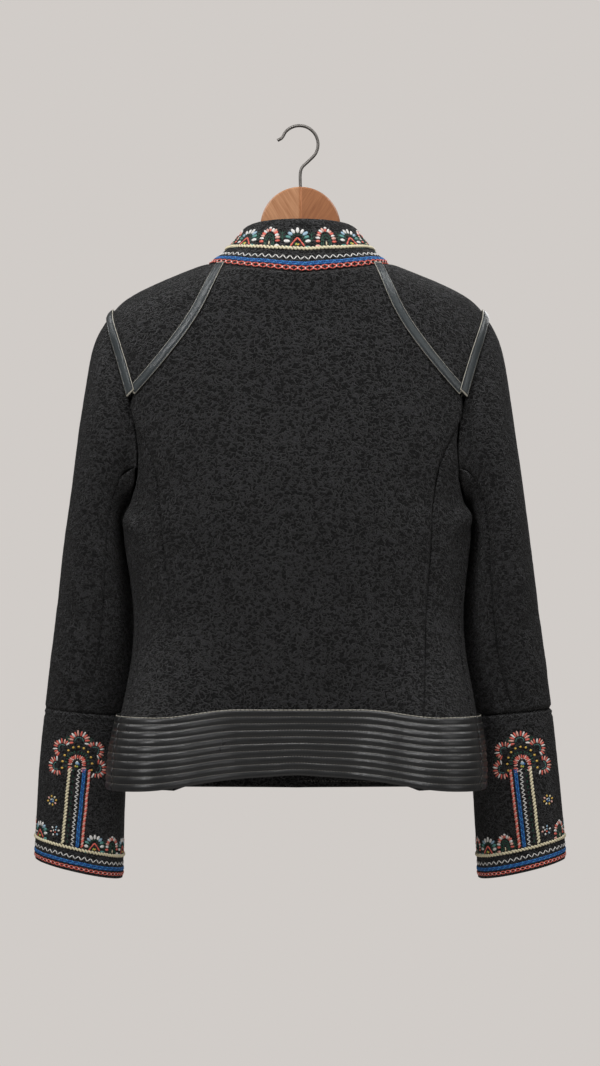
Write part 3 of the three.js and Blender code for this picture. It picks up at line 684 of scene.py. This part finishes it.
def shape_band(made, cuts):
    """Cuts the band into rows and puffs each quilted channel."""
    bm = bmesh.new()
    bm.from_mesh(made.data)
    points = places(made.data)
    share = band_share(made.data, points)
    bm.verts.ensure_lookup_table()
    down = [edge for edge in bm.edges
            if abs(share[edge.verts[0].index] - share[edge.verts[1].index]) > 0.02]
    bmesh.ops.subdivide_edges(bm, edges=down, cuts=cuts, use_grid_fill=True)
    bm.to_mesh(made.data)
    bm.free()
    mesh = made.data
    points, normals = places(mesh), places(mesh, "normal")
    share = band_share(mesh, points)
    rows = share * QUILT_ROWS
    step = rows - np.floor(rows)
    puff = np.clip(np.sin(math.pi * step), 0, 1) ** 0.55
    wander = rough_field(points, 17 * MM)
    wrinkle = rough_field(points * [1.0, 1.0, 0.35], 4.5 * MM)
    push = QUILT_PUFF * puff * (1 + 0.25 * wander) + 0.22 * MM * wrinkle * puff - 0.6 * MM
    edge = np.minimum(share, 1 - share)
    push = np.where(edge < 0.012, -0.2 * MM, push)
    mesh.vertices.foreach_set("co", (points + normals * push[:, None]).ravel())
    mesh.update()
    return share


bands, band_shares = {}, {}
for node in BANDS:
    made = smooth_layer(node + "_leather", node, BANDS[node][3], [BAND_LEATHER, CUT_EDGE])
    band_shares[node] = shape_band(made, BANDS[node][4])
    thicken(made, BAND)
    place_piece(made, node)
    bands[node] = made

# ------------------------------------------------------------------ stitching


class Stitcher:
    """Lays separate stitches, each a low plump capsule, and gathers them by thread."""

    def __init__(self):
        self.heaps = {}
        self.done = {}

    def one(self, thread, start, end, out, width, height, sides=6, rings=4):
        """One stitch from start to end, standing up along out."""
        along = end - start
        length = along.length
        if length < 1e-6:
            return
        along.normalize()
        across = along.cross(out).normalized()
        up = across.cross(along).normalized()
        half = length / 2 + width * 0.12
        matrix = Matrix((across * width / 2, up * height / 2, along * half)).transposed().to_4x4()
        matrix.translation = (start + end) / 2
        if thread not in self.heaps:
            self.heaps[thread] = (bmesh.new(), [0])
        heap, laid = self.heaps[thread]
        bmesh.ops.create_uvsphere(heap, u_segments=sides, v_segments=rings, radius=1.0, matrix=matrix)
        laid[0] += 1
        if laid[0] >= HEAP_SIZE:
            self.put_away(thread)

    def put_away(self, thread):
        """Turns a full heap into a mesh, so that a heap never grows slow."""
        heap, _ = self.heaps.pop(thread)
        mesh = bpy.data.meshes.new("heap")
        heap.to_mesh(mesh)
        heap.free()
        self.done.setdefault(thread, []).append(mesh)

    def gather(self, name, threads):
        """Joins all the stitches into one object with a material for each thread."""
        for thread in list(self.heaps):
            self.put_away(thread)
        whole = bmesh.new()
        slots = [thread for thread in threads if thread in self.done]
        for index, thread in enumerate(slots):
            for mesh in self.done[thread]:
                for face in mesh.polygons:
                    face.material_index = index
                    face.use_smooth = True
                whole.from_mesh(mesh)
                bpy.data.meshes.remove(mesh)
        return new_object(name, whole, [threads[thread] for thread in slots])


def wandering(line):
    """The same line as a hand would sew it, a little off to either side."""
    out = []
    for i, (place, normal) in enumerate(line):
        ahead = line[min(i + 1, len(line) - 1)][0] - line[max(i - 1, 0)][0]
        across = ahead.normalized().cross(normal).normalized()
        out.append((place + across * HAND_WANDER * MM * noise.noise(place / HAND_WANDER_SIZE), normal))
    return out


def spaced(line, step):
    """Points at even steps along a line of (place, out) pairs."""
    out, carried = [line[0]], 0.0
    for (a, n), (b, m) in zip(line, line[1:]):
        length = (b - a).length
        while carried + length >= step:
            t = (step - carried) / length
            a, n = a.lerp(b, t), n.lerp(m, t)
            out.append((a.copy(), n.copy()))
            length = (b - a).length
            carried = 0.0
        carried += length
    return out


def surface_of(made):
    """A lookup of the finished outer face of a sheet."""
    mesh = made.data
    points = [v.co.copy() for v in mesh.vertices]
    return BVHTree.FromPolygons(points, [tuple(face.vertices) for face in mesh.polygons])


def inner_line(made, surface, inset):
    """A line a little way in from a strip's open edge, on its surface."""
    bm = bmesh.new()
    bm.from_mesh(made.data)
    bm.verts.ensure_lookup_table()
    line = []
    for index in max(ordered_loops(made.data), key=len):
        vert = bm.verts[index]
        centres = [face.calc_center_median() for face in vert.link_faces]
        centre = sum(centres, Vector()) / len(centres)
        inward = centre - vert.co
        border = [edge.other_vert(vert).co - vert.co for edge in vert.link_edges if edge.is_boundary]
        if len(border) == 2:
            run = (border[0] - border[1]).normalized()
            inward -= run * inward.dot(run)
        if inward.length < 1e-7:
            continue
        place, out, _, _ = surface.find_nearest(vert.co + inward.normalized() * inset)
        line.append((place, out))
    bm.free()
    return line


def dashes(stitcher, thread, line, step, share, width, height, lift=0.0):
    """A row of running stitches, each of them this share of its step."""
    marks = spaced(line, step)
    for (a, n), (b, m) in zip(marks, marks[1:]):
        if (b - a).length > 1.5 * step:
            continue
        end = a.lerp(b, share)
        stitcher.one(thread, a + n * lift, end + m * lift, n, width, height, 5, 3)


def level_line(made, share, wanted):
    """The line on a band where its share is the wanted one, in order round the body."""
    mesh = made.data
    points, normals = places(mesh), places(mesh, "normal")
    ends = np.zeros(len(mesh.edges) * 2, int)
    mesh.edges.foreach_get("vertices", ends)
    a, b = ends.reshape(-1, 2).T
    crossed = ((share[a] - wanted) * (share[b] - wanted) <= 0) & (abs(share[a] - share[b]) > 0.002)
    a, b = a[crossed], b[crossed]
    t = ((wanted - share[a]) / (share[b] - share[a]))[:, None]
    spots = points[a] + t * (points[b] - points[a])
    outs = normals[a] + t * (normals[b] - normals[a])
    turn = np.degrees(np.arctan2(spots[:, 1], spots[:, 0]))
    turn = np.where(turn < -90, turn + 360, turn)
    order = np.argsort(turn)
    return [(Vector(spots[i]), Vector(outs[i]).normalized()) for i in order]


# places (x, z) down the seam near the left end of the back band
BAND_SEAM = [(179.5, -633.0), (178.6, -660.0), (180.4, -690.0), (182.0, -716.0)]


def band_seam_line(surface, parts=12):
    """The band's upright seam, found on its surface from behind."""
    line = []
    for (x, z), (x2, z2) in zip(BAND_SEAM, BAND_SEAM[1:]):
        for i in range(parts):
            start = Vector((x + (x2 - x) * i / parts, 200.0, z + (z2 - z) * i / parts)) * MM
            place, out, _, _ = surface.ray_cast(start, Vector((0, -1, 0)), 0.4)
            if place is not None:
                line.append((place, out))
    return line


def stitch_leather():
    """Dark stitches on the strips, pale ones in the quilting and the raw edge above the band."""
    sewing = Stitcher()
    for made in strips.values():
        line = inner_line(made, surface_of(made), STITCH_INSET)
        dashes(sewing, "dark", line + line[:1], 3.8 * MM, 0.62, 0.95 * MM, 0.6 * MM, 0.1 * MM)
    for node, made in bands.items():
        share = band_shares[node]
        step = 3.1 * MM if node == "hem_band_back" else 4.2 * MM
        for row in range(1, QUILT_ROWS):
            line = level_line(made, share, (row + 0.07) / QUILT_ROWS)
            dashes(sewing, "pale", line, step, 0.55, 0.55 * MM, 0.5 * MM, 0.12 * MM)
        line = level_line(made, share, 0.006)
        dashes(sewing, "edge", line, 4.5 * MM, 1.05, 1.1 * MM, 0.9 * MM, 0.1 * MM)
    line = band_seam_line(surface_of(bands["hem_band_back"]))
    dashes(sewing, "dark", line, 2.0 * MM, 1.1, 0.9 * MM, 0.5 * MM)
    return sewing.gather(
        "leather_stitches", {"dark": DARK_THREAD, "pale": BAND_THREAD, "edge": CUT_EDGE})


leather_work = stitch_leather()
place_piece(leather_work)

# ------------------------------------------------------------------ embroidery


class Ring:
    """Places on a tube-shaped sheet, by angle round its axis and height above its lower edge."""

    def __init__(self, made, upright=False):
        self.surface = surface_of(made)
        points = places(made.data)
        ends = np.unique(edge_lines(made.data))
        rim = points[ends]
        middle = Vector(rim.mean(axis=0))
        if upright:
            self.axis = Vector((0, 0, 1))
        else:
            split = np.median(rim[:, 2])
            low, high = rim[rim[:, 2] < split], rim[rim[:, 2] >= split]
            self.axis = (Vector(high.mean(axis=0)) - Vector(low.mean(axis=0))).normalized()
        self.middle = middle
        self.east = (Vector((1, 0, 0)) - self.axis * self.axis.x).normalized()
        self.north = self.axis.cross(self.east)
        away = rim - np.array(middle)
        height = away @ np.array(self.axis)
        angle = np.degrees(np.arctan2(away @ np.array(self.north), away @ np.array(self.east)))
        self.low, self.high = self.edge(angle, height, False), self.edge(angle, height, True)

    def edge(self, angle, height, upper):
        angles, heights = [], []
        for start in range(-180, 180, 10):
            here = (angle >= start) & (angle < start + 10)
            if not here.any():
                continue
            both = height[here]
            cut = (both.max() + both.min()) / 2
            chosen = both >= cut if upper else both < cut
            if both.max() - both.min() < 15 * MM:
                continue
            angles.append(angle[here][chosen].mean())
            heights.append(both[chosen].mean())
        return np.array(angles), np.array(heights)

    def level(self, edge, angle):
        turned = (angle + 180) % 360 - 180
        return float(np.interp(turned, edge[0], edge[1], period=360))

    def at(self, angle, share=None, above=None):
        low, high = self.level(self.low, angle), self.level(self.high, angle)
        height = low + above if share is None else low + share * (high - low)
        turn = math.radians(angle)
        outward = self.east * math.cos(turn) + self.north * math.sin(turn)
        start = self.middle + self.axis * height
        place, out, _, _ = self.surface.ray_cast(start, outward, 0.3)
        return None if place is None else (place, out if out.dot(outward) > 0 else -out)

    def line(self, first, last, step=2.0, **where):
        count = max(2, int(abs(last - first) / step))
        found = [self.at(first + (last - first) * i / count, **where) for i in range(count + 1)]
        return [spot for spot in found if spot]


def fuller(value):
    """Rounds an ellipse out towards a horseshoe."""
    return math.copysign(abs(value) ** 0.8, value)


class Patch:
    """Places on a curved sheet, in millimetres right of and above a middle point."""

    def __init__(self, stitcher, surface, middle, out, up):
        self.stitcher = stitcher
        self.surface = surface
        self.middle = middle
        self.out = out.normalized()
        self.up = (up - self.out * up.dot(self.out)).normalized()
        self.right = self.up.cross(self.out).normalized()

    def at(self, u, v):
        start = self.middle + self.right * u * MM + self.up * v * MM + self.out * 20 * MM
        place, out, _, _ = self.surface.ray_cast(start, -self.out, 0.05)
        return None if place is None else (place, out)

    def stitch(self, thread, a, b, width, height=0.9, sides=6, rings=4):
        start, end = self.at(*a), self.at(*b)
        if start is None or end is None:
            return
        out = start[1] + end[1]
        if out.dot(self.out) < 0:
            out = -out
        self.stitcher.one(thread, start[0], end[0], out.normalized(), width * MM, height * MM, sides, rings)

    def line(self, a, b, count=24):
        found = [self.at(a[0] + (b[0] - a[0]) * i / count, a[1] + (b[1] - a[1]) * i / count)
                 for i in range(count + 1)]
        return [(place, out if out.dot(self.out) > 0 else -out) for place, out in filter(None, found)]

    def petals(self, threads, u, v, wide, tall, first, last, count, length, width, height=1.0):
        """Satin petals standing outwards along part of an ellipse."""
        for i in range(count):
            turn = math.radians(first + (last - first) * i / max(1, count - 1))
            foot = (u + wide * fuller(math.cos(turn)), v + tall * fuller(math.sin(turn)))
            aim = Vector((math.cos(turn) / wide, math.sin(turn) / tall)).normalized()
            reach = length * draw.uniform(0.88, 1.12)
            tip = (foot[0] + aim.x * reach, foot[1] + aim.y * reach)
            self.stitch(threads[i % len(threads)], foot, tip, width * draw.uniform(0.9, 1.1), height)

    def rim(self, thread, u, v, wide, tall, first, last, count, width, height=0.7):
        """Short stitches end to end along part of an ellipse."""
        spots = []
        for i in range(count + 1):
            turn = math.radians(first + (last - first) * i / count)
            spots.append((u + wide * fuller(math.cos(turn)), v + tall * fuller(math.sin(turn))))
        for a, b in zip(spots, spots[1:]):
            self.stitch(thread, a, b, width, height, 5, 3)

    def sprig(self, u, v, tall, lean=0.0):
        """A small dark green leaf spray."""
        self.stitch("dark_green", (u, v), (u + lean, v + tall), 1.1, 0.7, 5, 3)
        for side in (-1, 1):
            for share in (0.3, 0.62):
                foot = (u + lean * share, v + tall * share)
                tip = (foot[0] + side * tall * 0.24, foot[1] + tall * 0.3)
                self.stitch("dark_green", foot, tip, 1.0, 0.7, 5, 3)

    def sized(self, thread, size, a, b, width, height):
        """A stitch of an arch whose measures all grow with the arch."""
        self.stitch(thread, (a[0] * size, a[1] * size), (b[0] * size, b[1] * size), width * size, height)

    def blue_arch(self, size):
        """A teal and white arch over a coral gable and a yellow-green bud."""
        flank = ["teal", "white", "teal", "pale_blue"]
        shades = flank + ["white"] * 3 + ["pale_blue", "teal", "white", "teal"]
        self.petals(shades, 0, size, 7.0 * size, 11.8 * size, -4, 184, 11, 4.4 * size, 3.5 * size, 1.3)
        self.rim("dark_green", 0, 0.6 * size, 6.1 * size, 11.2 * size, 5, 175, 9, 1.1 * size)
        for side in (-1, 1):
            self.sized("coral", size, (0, 8.6), (side * 3.4, 4.4), 1.9, 1.1)
            self.stitch("coral", (side * 3.2 * size, 4.8 * size), (side * 6.2 * size, 0.3), 1.9 * size, 1.1)
        self.sized("lime", size, (-1.7, 1.2), (-0.3, 3.4), 2.0, 1.0)
        self.sized("yellow", size, (0.3, 1.0), (1.2, 2.8), 1.9, 1.0)
        self.sized("umber", size, (2.6, 0.9), (1.9, 3.2), 1.2, 0.8)

    def coral_arch(self, size):
        """A coral and white horseshoe over a green one, with a bead on top."""
        shades = ["white", "coral", "pink"]
        self.petals(shades, 0, 1.6 * size, 5.7 * size, 12.4 * size, -4, 184, 15, 3.7 * size, 2.8 * size, 1.3)
        self.rim("dark_green", 0, 0.8 * size, 4.3 * size, 10.6 * size, -4, 184, 10, 1.3 * size)
        self.rim("dark_green", 0, 0.6 * size, 2.8 * size, 8.0 * size, -4, 184, 8, 1.1 * size)
        self.sized("cream", size, (0, 0.8), (0, 4.6), 1.5, 0.9)
        self.sized("umber", size, (1.2, 0.8), (0.7, 3.4), 0.9, 0.8)
        self.sized("white", size, (0, 16.6), (0, 18.4), 3.2, 1.8)


def cord(stitcher, thread, line, width, pitch, second=None):
    """A laid cord of two strands twisted together."""
    marks = spaced(wandering(line), pitch)
    for i, ((a, n), (b, m)) in enumerate(zip(marks, marks[1:])):
        if (b - a).length > 2 * pitch:
            continue
        along = (b - a).normalized()
        across = along.cross(n).normalized() * width * 0.36
        reach = along * pitch * 0.54
        middle = (a + b) / 2 + n * width * 0.18
        name = second if second and i % 2 else thread
        stitcher.one(name, middle - reach - across, middle + reach + across, n, width * 0.7, width * 0.62)


def zigzag(stitcher, thread, line, swing, period, width):
    """A thread that swings from side to side, never quite evenly."""
    marks = spaced(wandering(line), period / 2)
    corners = []
    for i, (a, n) in enumerate(marks):
        b = marks[i + 1][0] if i + 1 < len(marks) else a * 2 - marks[i - 1][0]
        across = (b - a).normalized().cross(n).normalized()
        corners.append((a + across * swing / 2 * (1 if i % 2 else -1) * draw.uniform(0.85, 1.15), n))
    for (a, n), (b, m) in zip(corners, corners[1:]):
        if (b - a).length < 2 * period:
            stitcher.one(thread, a + n * 0.1 * MM, b + m * 0.1 * MM, n, width, width * 0.8, 5, 3)


def chain(stitcher, outer, cross, line, width, pitch, thread_width):
    """A row of open links, with a pale stitch across each."""
    marks = spaced(wandering(line), pitch)
    for i, ((a, n), (b, m)) in enumerate(zip(marks, marks[1:])):
        if (b - a).length > 2 * pitch:
            continue
        across = (b - a).normalized().cross(n).normalized() * width / 2
        middle = (a + b) / 2
        for side in (-1, 1):
            lift = n * 0.25 * MM
            bow = middle + across * side + lift
            stitcher.one(outer, a - (b - a) * 0.1 + lift, bow, n, thread_width, thread_width * 0.7, 5, 3)
            stitcher.one(outer, bow, b + (b - a) * 0.1 + lift, n, thread_width, thread_width * 0.7, 5, 3)
        stitcher.one(cross, a - across * 0.5 + n * 0.4 * MM, a + across * 0.5 + n * 0.4 * MM, n,
                     thread_width * 0.9, thread_width * 0.7, 5, 3)


def braid(stitcher, dark, light, line, width, pitch):
    """A flat plait: two rows of slanting stitches that meet in the middle."""
    marks = spaced(wandering(line), pitch)
    for i, ((a, n), (b, m)) in enumerate(zip(marks, marks[1:])):
        if (b - a).length > 2 * pitch:
            continue
        across = (b - a).normalized().cross(n).normalized() * width / 2
        for side in (-1, 1):
            start = a + across * side * 0.95 + n * 0.1 * MM
            end = b + across * side * 0.05 + (b - a) * 0.3 + n * 0.35 * MM
            name = light if (i + (side > 0)) % 3 == 0 else dark
            stitcher.one(name, start, end, n, width * 0.42, width * 0.3, 5, 3)


# each border row's height, as a share of the collar or in metres above the cuff's edge, and its
# sizes in millimetres: width, pitch and thread of a chain, width and pitch of a plait or cord,
# and swing, period and thread of a zigzag
COLLAR_ROWS = {
    "coral": (0.075, (5.4, 8.2, 1.8)),
    "blue": (0.165, (4.6, 2.6)),
    "zigzag": (0.27, (4.6, 7.6, 1.35)),
    "cream": (0.44, (4.6, 4.0)),
}
CUFF_ROWS = {
    "coral": (0.0045, (3.4, 5.4, 1.4)),
    "blue": (0.0098, (3.8, 2.2)),
    "zigzag": (0.0158, (4.0, 6.6, 1.25)),
    "cream": (0.0245, (3.9, 3.6)),
}
COLLAR_ARCHES_AT, CUFF_ARCHES_AT = 0.475, 0.026
COLLAR_ARCH_STEP, CUFF_ARCH_STEP = 31.0 * MM, 21.5 * MM
COLLAR_MIDDLE = 2.9 * MM
FRONT_END = 6.0
STEM_TILT, STEM_LENGTH = -1.2, 88.0


def border(stitcher, rows, line_at):
    """The four rows of a border: coral chain, blue plait, white zigzag and cream cord."""
    lines = {row: line_at(height) for row, (height, _) in rows.items()}
    sizes = {row: [size * MM for size in measures] for row, (_, measures) in rows.items()}
    chain(stitcher, "coral", "white", lines["coral"], *sizes["coral"])
    braid(stitcher, "blue", "blue_light", lines["blue"], *sizes["blue"])
    zigzag(stitcher, "white", lines["zigzag"], *sizes["zigzag"])
    cord(stitcher, "cream", lines["cream"], *sizes["cream"])


def run_along(row):
    """How far along a row each of its places lies."""
    return np.concatenate([[0], np.cumsum([(b[0] - a[0]).length for a, b in zip(row, row[1:])])])


def embroider_collar():
    """Arches stand along the collar above its border, from the middle of the back to both fronts."""
    sewing = Stitcher()
    ring = Ring(layers["collar"], upright=True)
    around = (-90 + FRONT_END, 270 - FRONT_END)
    border(sewing, COLLAR_ROWS, lambda share: ring.line(*around, share=share))
    row = ring.line(*around, step=0.5, share=COLLAR_ARCHES_AT)
    run = run_along(row)
    behind = [abs(place.x - COLLAR_MIDDLE) + (place.y < 0) for place, _ in row]
    middle = run[min(range(len(row)), key=behind.__getitem__)]
    for number in range(-7, 8):
        wanted = middle + number * COLLAR_ARCH_STEP
        if not 14 * MM < wanted < run[-1] - 14 * MM:
            continue
        place, out = row[int(np.searchsorted(run, wanted))]
        spot = Patch(sewing, ring.surface, place, out, Vector((0, 0, 1)))
        if number % 2 == 0:
            spot.blue_arch(1.22)
        else:
            spot.coral_arch(1.2)
        spot.sprig(14.2, 3.5, 14.5, draw.uniform(-1.2, 1.2))
    return sewing.gather("collar_embroidery", THREADS)


def scallop(patch, u, v, aim, size):
    """A fan of coral and white petals round a dark green heart."""
    shades = ["white", "coral", "pink", "coral"]
    patch.petals(shades, u, v, 4.6 * size, 4.6 * size, aim - 100, aim + 100, 12, 4.4 * size, 2.0 * size)
    patch.rim("teal", u, v, 3.4 * size, 3.4 * size, aim - 90, aim + 90, 6, 0.9)


def cuff_motif(patch):
    """A half rosette of five even fans on a banded stem, laid out by rule."""
    for turn in (-14, 38, 90, 142, 194):
        angle = math.radians(turn)
        u, v = 22.0 * math.cos(angle), 22.5 * math.sin(angle) + 3.5
        scallop(patch, u, v, turn, 1.12 if turn != 90 else 1.3)
    for turn in (12, 64, 116, 168):
        angle = math.radians(turn)
        foot = (21.0 * math.cos(angle), 22.0 * math.sin(angle) + 3.5)
        for part in (-14, 0, 14):
            aim = math.radians(turn + part)
            tip = (foot[0] + 9 * math.cos(aim), foot[1] + 9 * math.sin(aim))
            patch.stitch("dark_green", foot, tip, 1.1, 0.7, 5, 3)
    for i in range(11):
        angle = math.radians(-12 + 204 * i / 10)
        u, v = 16.0 * math.cos(angle), 20.0 * math.sin(angle) + 0.5
        patch.stitch("yellow", (u, v - 0.8), (u, v + 0.8), 3.2, 1.4)
    patch.petals(["dark_green"], 0, 0, 10.4, 13.2, -5, 185, 15, 2.8, 1.6, 0.7)
    patch.petals(["coral", "coral", "pink"], 0, -0.5, 5.8, 8.4, -30, 210, 21, 4.0, 2.0, 1.3)
    patch.petals(["white", "pink"], 0, -0.5, 5.2, 7.7, -30, 210, 13, 1.2, 1.4, 1.0)
    patch.stitch("pale_blue", (-1.6, 2.6), (1.6, 3.0), 4.2, 1.3)
    patch.stitch("white", (-1.0, 4.4), (0.6, 4.6), 1.8, 1.6)
    patch.stitch("blue", (1.9, 0.6), (2.6, 2.8), 1.8, 1.3)
    patch.stitch("yellow", (-1.8, -1.4), (-1.2, 0.4), 2.3, 1.2)
    patch.stitch("lime", (0.2, -1.8), (0.8, 0.2), 2.2, 1.2)


def flower(patch, u, v, petals, threads, reach, middle):
    """A small round flower with a tight middle."""
    for i in range(petals):
        turn = math.tau * i / petals + 0.2
        a = (u + math.cos(turn) * reach * 0.62, v + math.sin(turn) * reach * 0.62)
        b = (u + math.cos(turn) * reach, v + math.sin(turn) * reach)
        patch.stitch(threads[i % len(threads)], a, b, reach * 0.42, 1.1)
    for i, thread in enumerate(middle):
        turn = math.tau * i / len(middle) + 0.9
        a = (u + math.cos(turn) * reach * 0.18, v + math.sin(turn) * reach * 0.18)
        b = (u + math.cos(turn) * reach * 0.36, v + math.sin(turn) * reach * 0.36)
        patch.stitch(thread, a, b, reach * 0.46, 1.4)


def embroider_cuff(node, side, centre):
    """side is 1 for the left cuff; centre is the rosette's (x, z) place on the back of the cuff."""
    ring = Ring(layers[node])
    sewing = Stitcher()
    full = (-180.0, 180.0)
    border(sewing, CUFF_ROWS, lambda height: ring.line(*full, above=height))
    start = Vector((centre[0] * MM, 0.2, centre[1] * MM))
    middle, out, _, _ = ring.surface.ray_cast(start, Vector((0, -1, 0)), 0.5)
    tilt = Matrix.Rotation(math.radians(STEM_TILT * side), 3, "Y")
    patch = Patch(sewing, ring.surface, middle, Vector((0, 1, 0)), tilt @ ring.axis)
    cuff_motif(patch)

    def stem_line(u):
        return patch.line((u * side, -3.0), (u * side, -STEM_LENGTH), 40)

    cord(sewing, "cream", stem_line(-7.6), 4.2 * MM, 3.7 * MM)
    zigzag(sewing, "white", stem_line(2.6), 3.9 * MM, 4.6 * MM, 1.15 * MM)
    braid(sewing, "blue", "blue_light", stem_line(8.2), 3.9 * MM, 2.2 * MM)
    cord(sewing, "coral", stem_line(13.4), 3.7 * MM, 2.7 * MM, "pink")
    for i in range(14):
        height = -4.0 - i * (STEM_LENGTH - 6.0) / 14
        patch.stitch("dark_green", (-3.6 * side, height), (-2.2 * side, height - 3.4), 1.1, 0.7, 5, 3)
    flower(patch, -23.5 * side, -40.0, 8, ["yellow", "cream", "yellow", "pink"], 5.6,
           ["pale_blue", "white", "blue", "pale_blue"])
    flower(patch, -17.5 * side, -72.0, 6, ["white", "pale_blue", "white", "pink"], 5.4,
           ["pale_blue", "white", "coral"])
    row = ring.line(*full, step=0.5, above=CUFF_ARCHES_AT)
    run = run_along(row)
    behind = [abs(place.x - middle.x) + (place.y < middle.y - 0.03) for place, _ in row]
    first = run[min(range(len(row)), key=behind.__getitem__)]
    count = int(run[-1] / CUFF_ARCH_STEP)
    step = run[-1] / count
    for number in range(count):
        wanted = (first - side * 26 * MM + number * step) % run[-1]
        place, out = row[min(int(np.searchsorted(run, wanted)), len(row) - 1)]
        near = (place - middle).dot(patch.right) * side / MM
        if place.y > middle.y - 0.02 and -20 < near < 19:
            continue
        spot = Patch(sewing, ring.surface, place, out, ring.axis)
        if number % 2 == 0:
            spot.blue_arch(1.02)
        else:
            spot.coral_arch(1.02)
        spot.sprig(10.6, 0.5, 11.0, draw.uniform(-1.0, 1.0))
    return sewing.gather(node + "_embroidery", THREADS)


embroidery = {
    "collar": embroider_collar(),
    "cuff_left": embroider_cuff("cuff_left", 1, (239.8, -686.0)),
    "cuff_right": embroider_cuff("cuff_right", -1, (-238.5, -686.0)),
}
for piece in embroidery.values():
    place_piece(piece)

# ------------------------------------------------------------------ hanger

GLUE_LINE = (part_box("hanger_left")[0].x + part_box("hanger_right")[1].x) / 2


def glued_half(node, material):
    """One half of the hanger, brought right up to the glue line."""
    bm = bmesh.new()
    bm.from_mesh(nodes[node].data)
    bmesh.ops.remove_doubles(bm, verts=bm.verts[:], dist=MERGE)
    inner = min(abs(v.co.x - GLUE_LINE) for v in bm.verts)
    for vert in bm.verts:
        if abs(vert.co.x - GLUE_LINE) < inner + 0.05 * MM:
            vert.co.x = GLUE_LINE
    bmesh.ops.recalc_face_normals(bm, faces=bm.faces[:])
    place_piece(new_object(node + "_wood", bm, [material]), node)


glued_half("hanger_left", WOOD_LEFT)
# the right half takes the wood whose colours carry painted shade
glued_half("hanger_right", WOOD_RIGHT_PAINTED_SHADE)
nodes["hook"].data.materials.clear()
nodes["hook"].data.materials.append(STEEL)

# ------------------------------------------------------------------ floor, light and camera

ground = bmesh.new()
low = Matrix.Translation((0, 0, -1.2))
bmesh.ops.create_grid(ground, x_segments=1, y_segments=1, size=0.75, matrix=low)
floor_material, floor_tree, _ = new_material("floor")
plain = floor_tree.add("ShaderNodeBsdfPrincipled", None, Base_Color=(0.62, 0.6, 0.58, 1), Roughness=0.9)
close(floor_tree, plain)
floor = new_object("floor", ground, [floor_material])

world = bpy.data.worlds.new("pale_studio")
bpy.context.scene.world = world
world.use_nodes = True
world.node_tree.nodes.clear()
sky = Tree(world.node_tree)
seen = sky.add("ShaderNodeLightPath").outputs["Is Camera Ray"]
shine = sky.math("ADD", 0.24, sky.math("MULTIPLY", seen, 0.76))
air = sky.add("ShaderNodeBackground", None, Color=(0.637, 0.604, 0.578, 1), Strength=shine)
sky.add("ShaderNodeOutputWorld", None, Surface=air.outputs[0])


def soft_light(name, place, aim, size, power, only_shine=False):
    """A soft box; one that only shines adds glints and leaves the cloth as it is."""
    light = bpy.data.lights.new(name, "AREA")
    light.shape = "RECTANGLE"
    light.size, light.size_y = size
    light.energy = power
    made = bpy.data.objects.new(name, light)
    bpy.context.scene.collection.objects.link(made)
    made.location = place
    made.rotation_euler = (Vector(aim) - Vector(place)).to_track_quat("-Z", "Y").to_euler()
    made.visible_diffuse = not only_shine


soft_light("key", (1.3, 1.9, 0.95), (0, 0, -0.45), (0.6, 0.8), 22)
soft_light("overhead", (-0.1, 0.85, 1.2), (0, 0, -0.5), (1.6, 0.3), 20)
soft_light("fill", (-1.7, 1.9, 0.1), (0, 0, -0.45), (1.2, 1.4), 9)
soft_light("front_fill", (-0.9, -2.2, 0.6), (0, 0, -0.45), (1.4, 1.4), 16)
soft_light("left_glint", (1.2, -0.3, 0.8), (0.2, 0.05, -0.25), (0.7, 0.7), 7, only_shine=True)
soft_light("right_glint", (-1.15, -0.15, 0.8), (-0.2, 0.05, -0.25), (0.7, 0.7), 7, only_shine=True)

lens = bpy.data.cameras.new("camera")
lens.sensor_fit = "AUTO"
lens.sensor_width = 36.0
lens.lens = lens.sensor_width * CAMERA_AWAY / PICTURE_HEIGHT
lens.clip_start, lens.clip_end = 0.05, 30
camera = bpy.data.objects.new("camera", lens)
bpy.context.scene.collection.objects.link(camera)
camera.location = (0.0004, CAMERA_AWAY, -0.4362)
camera.rotation_euler = (math.pi / 2, 0, math.pi)
bpy.context.scene.camera = camera
bpy.context.scene.view_settings.view_transform = "Standard"
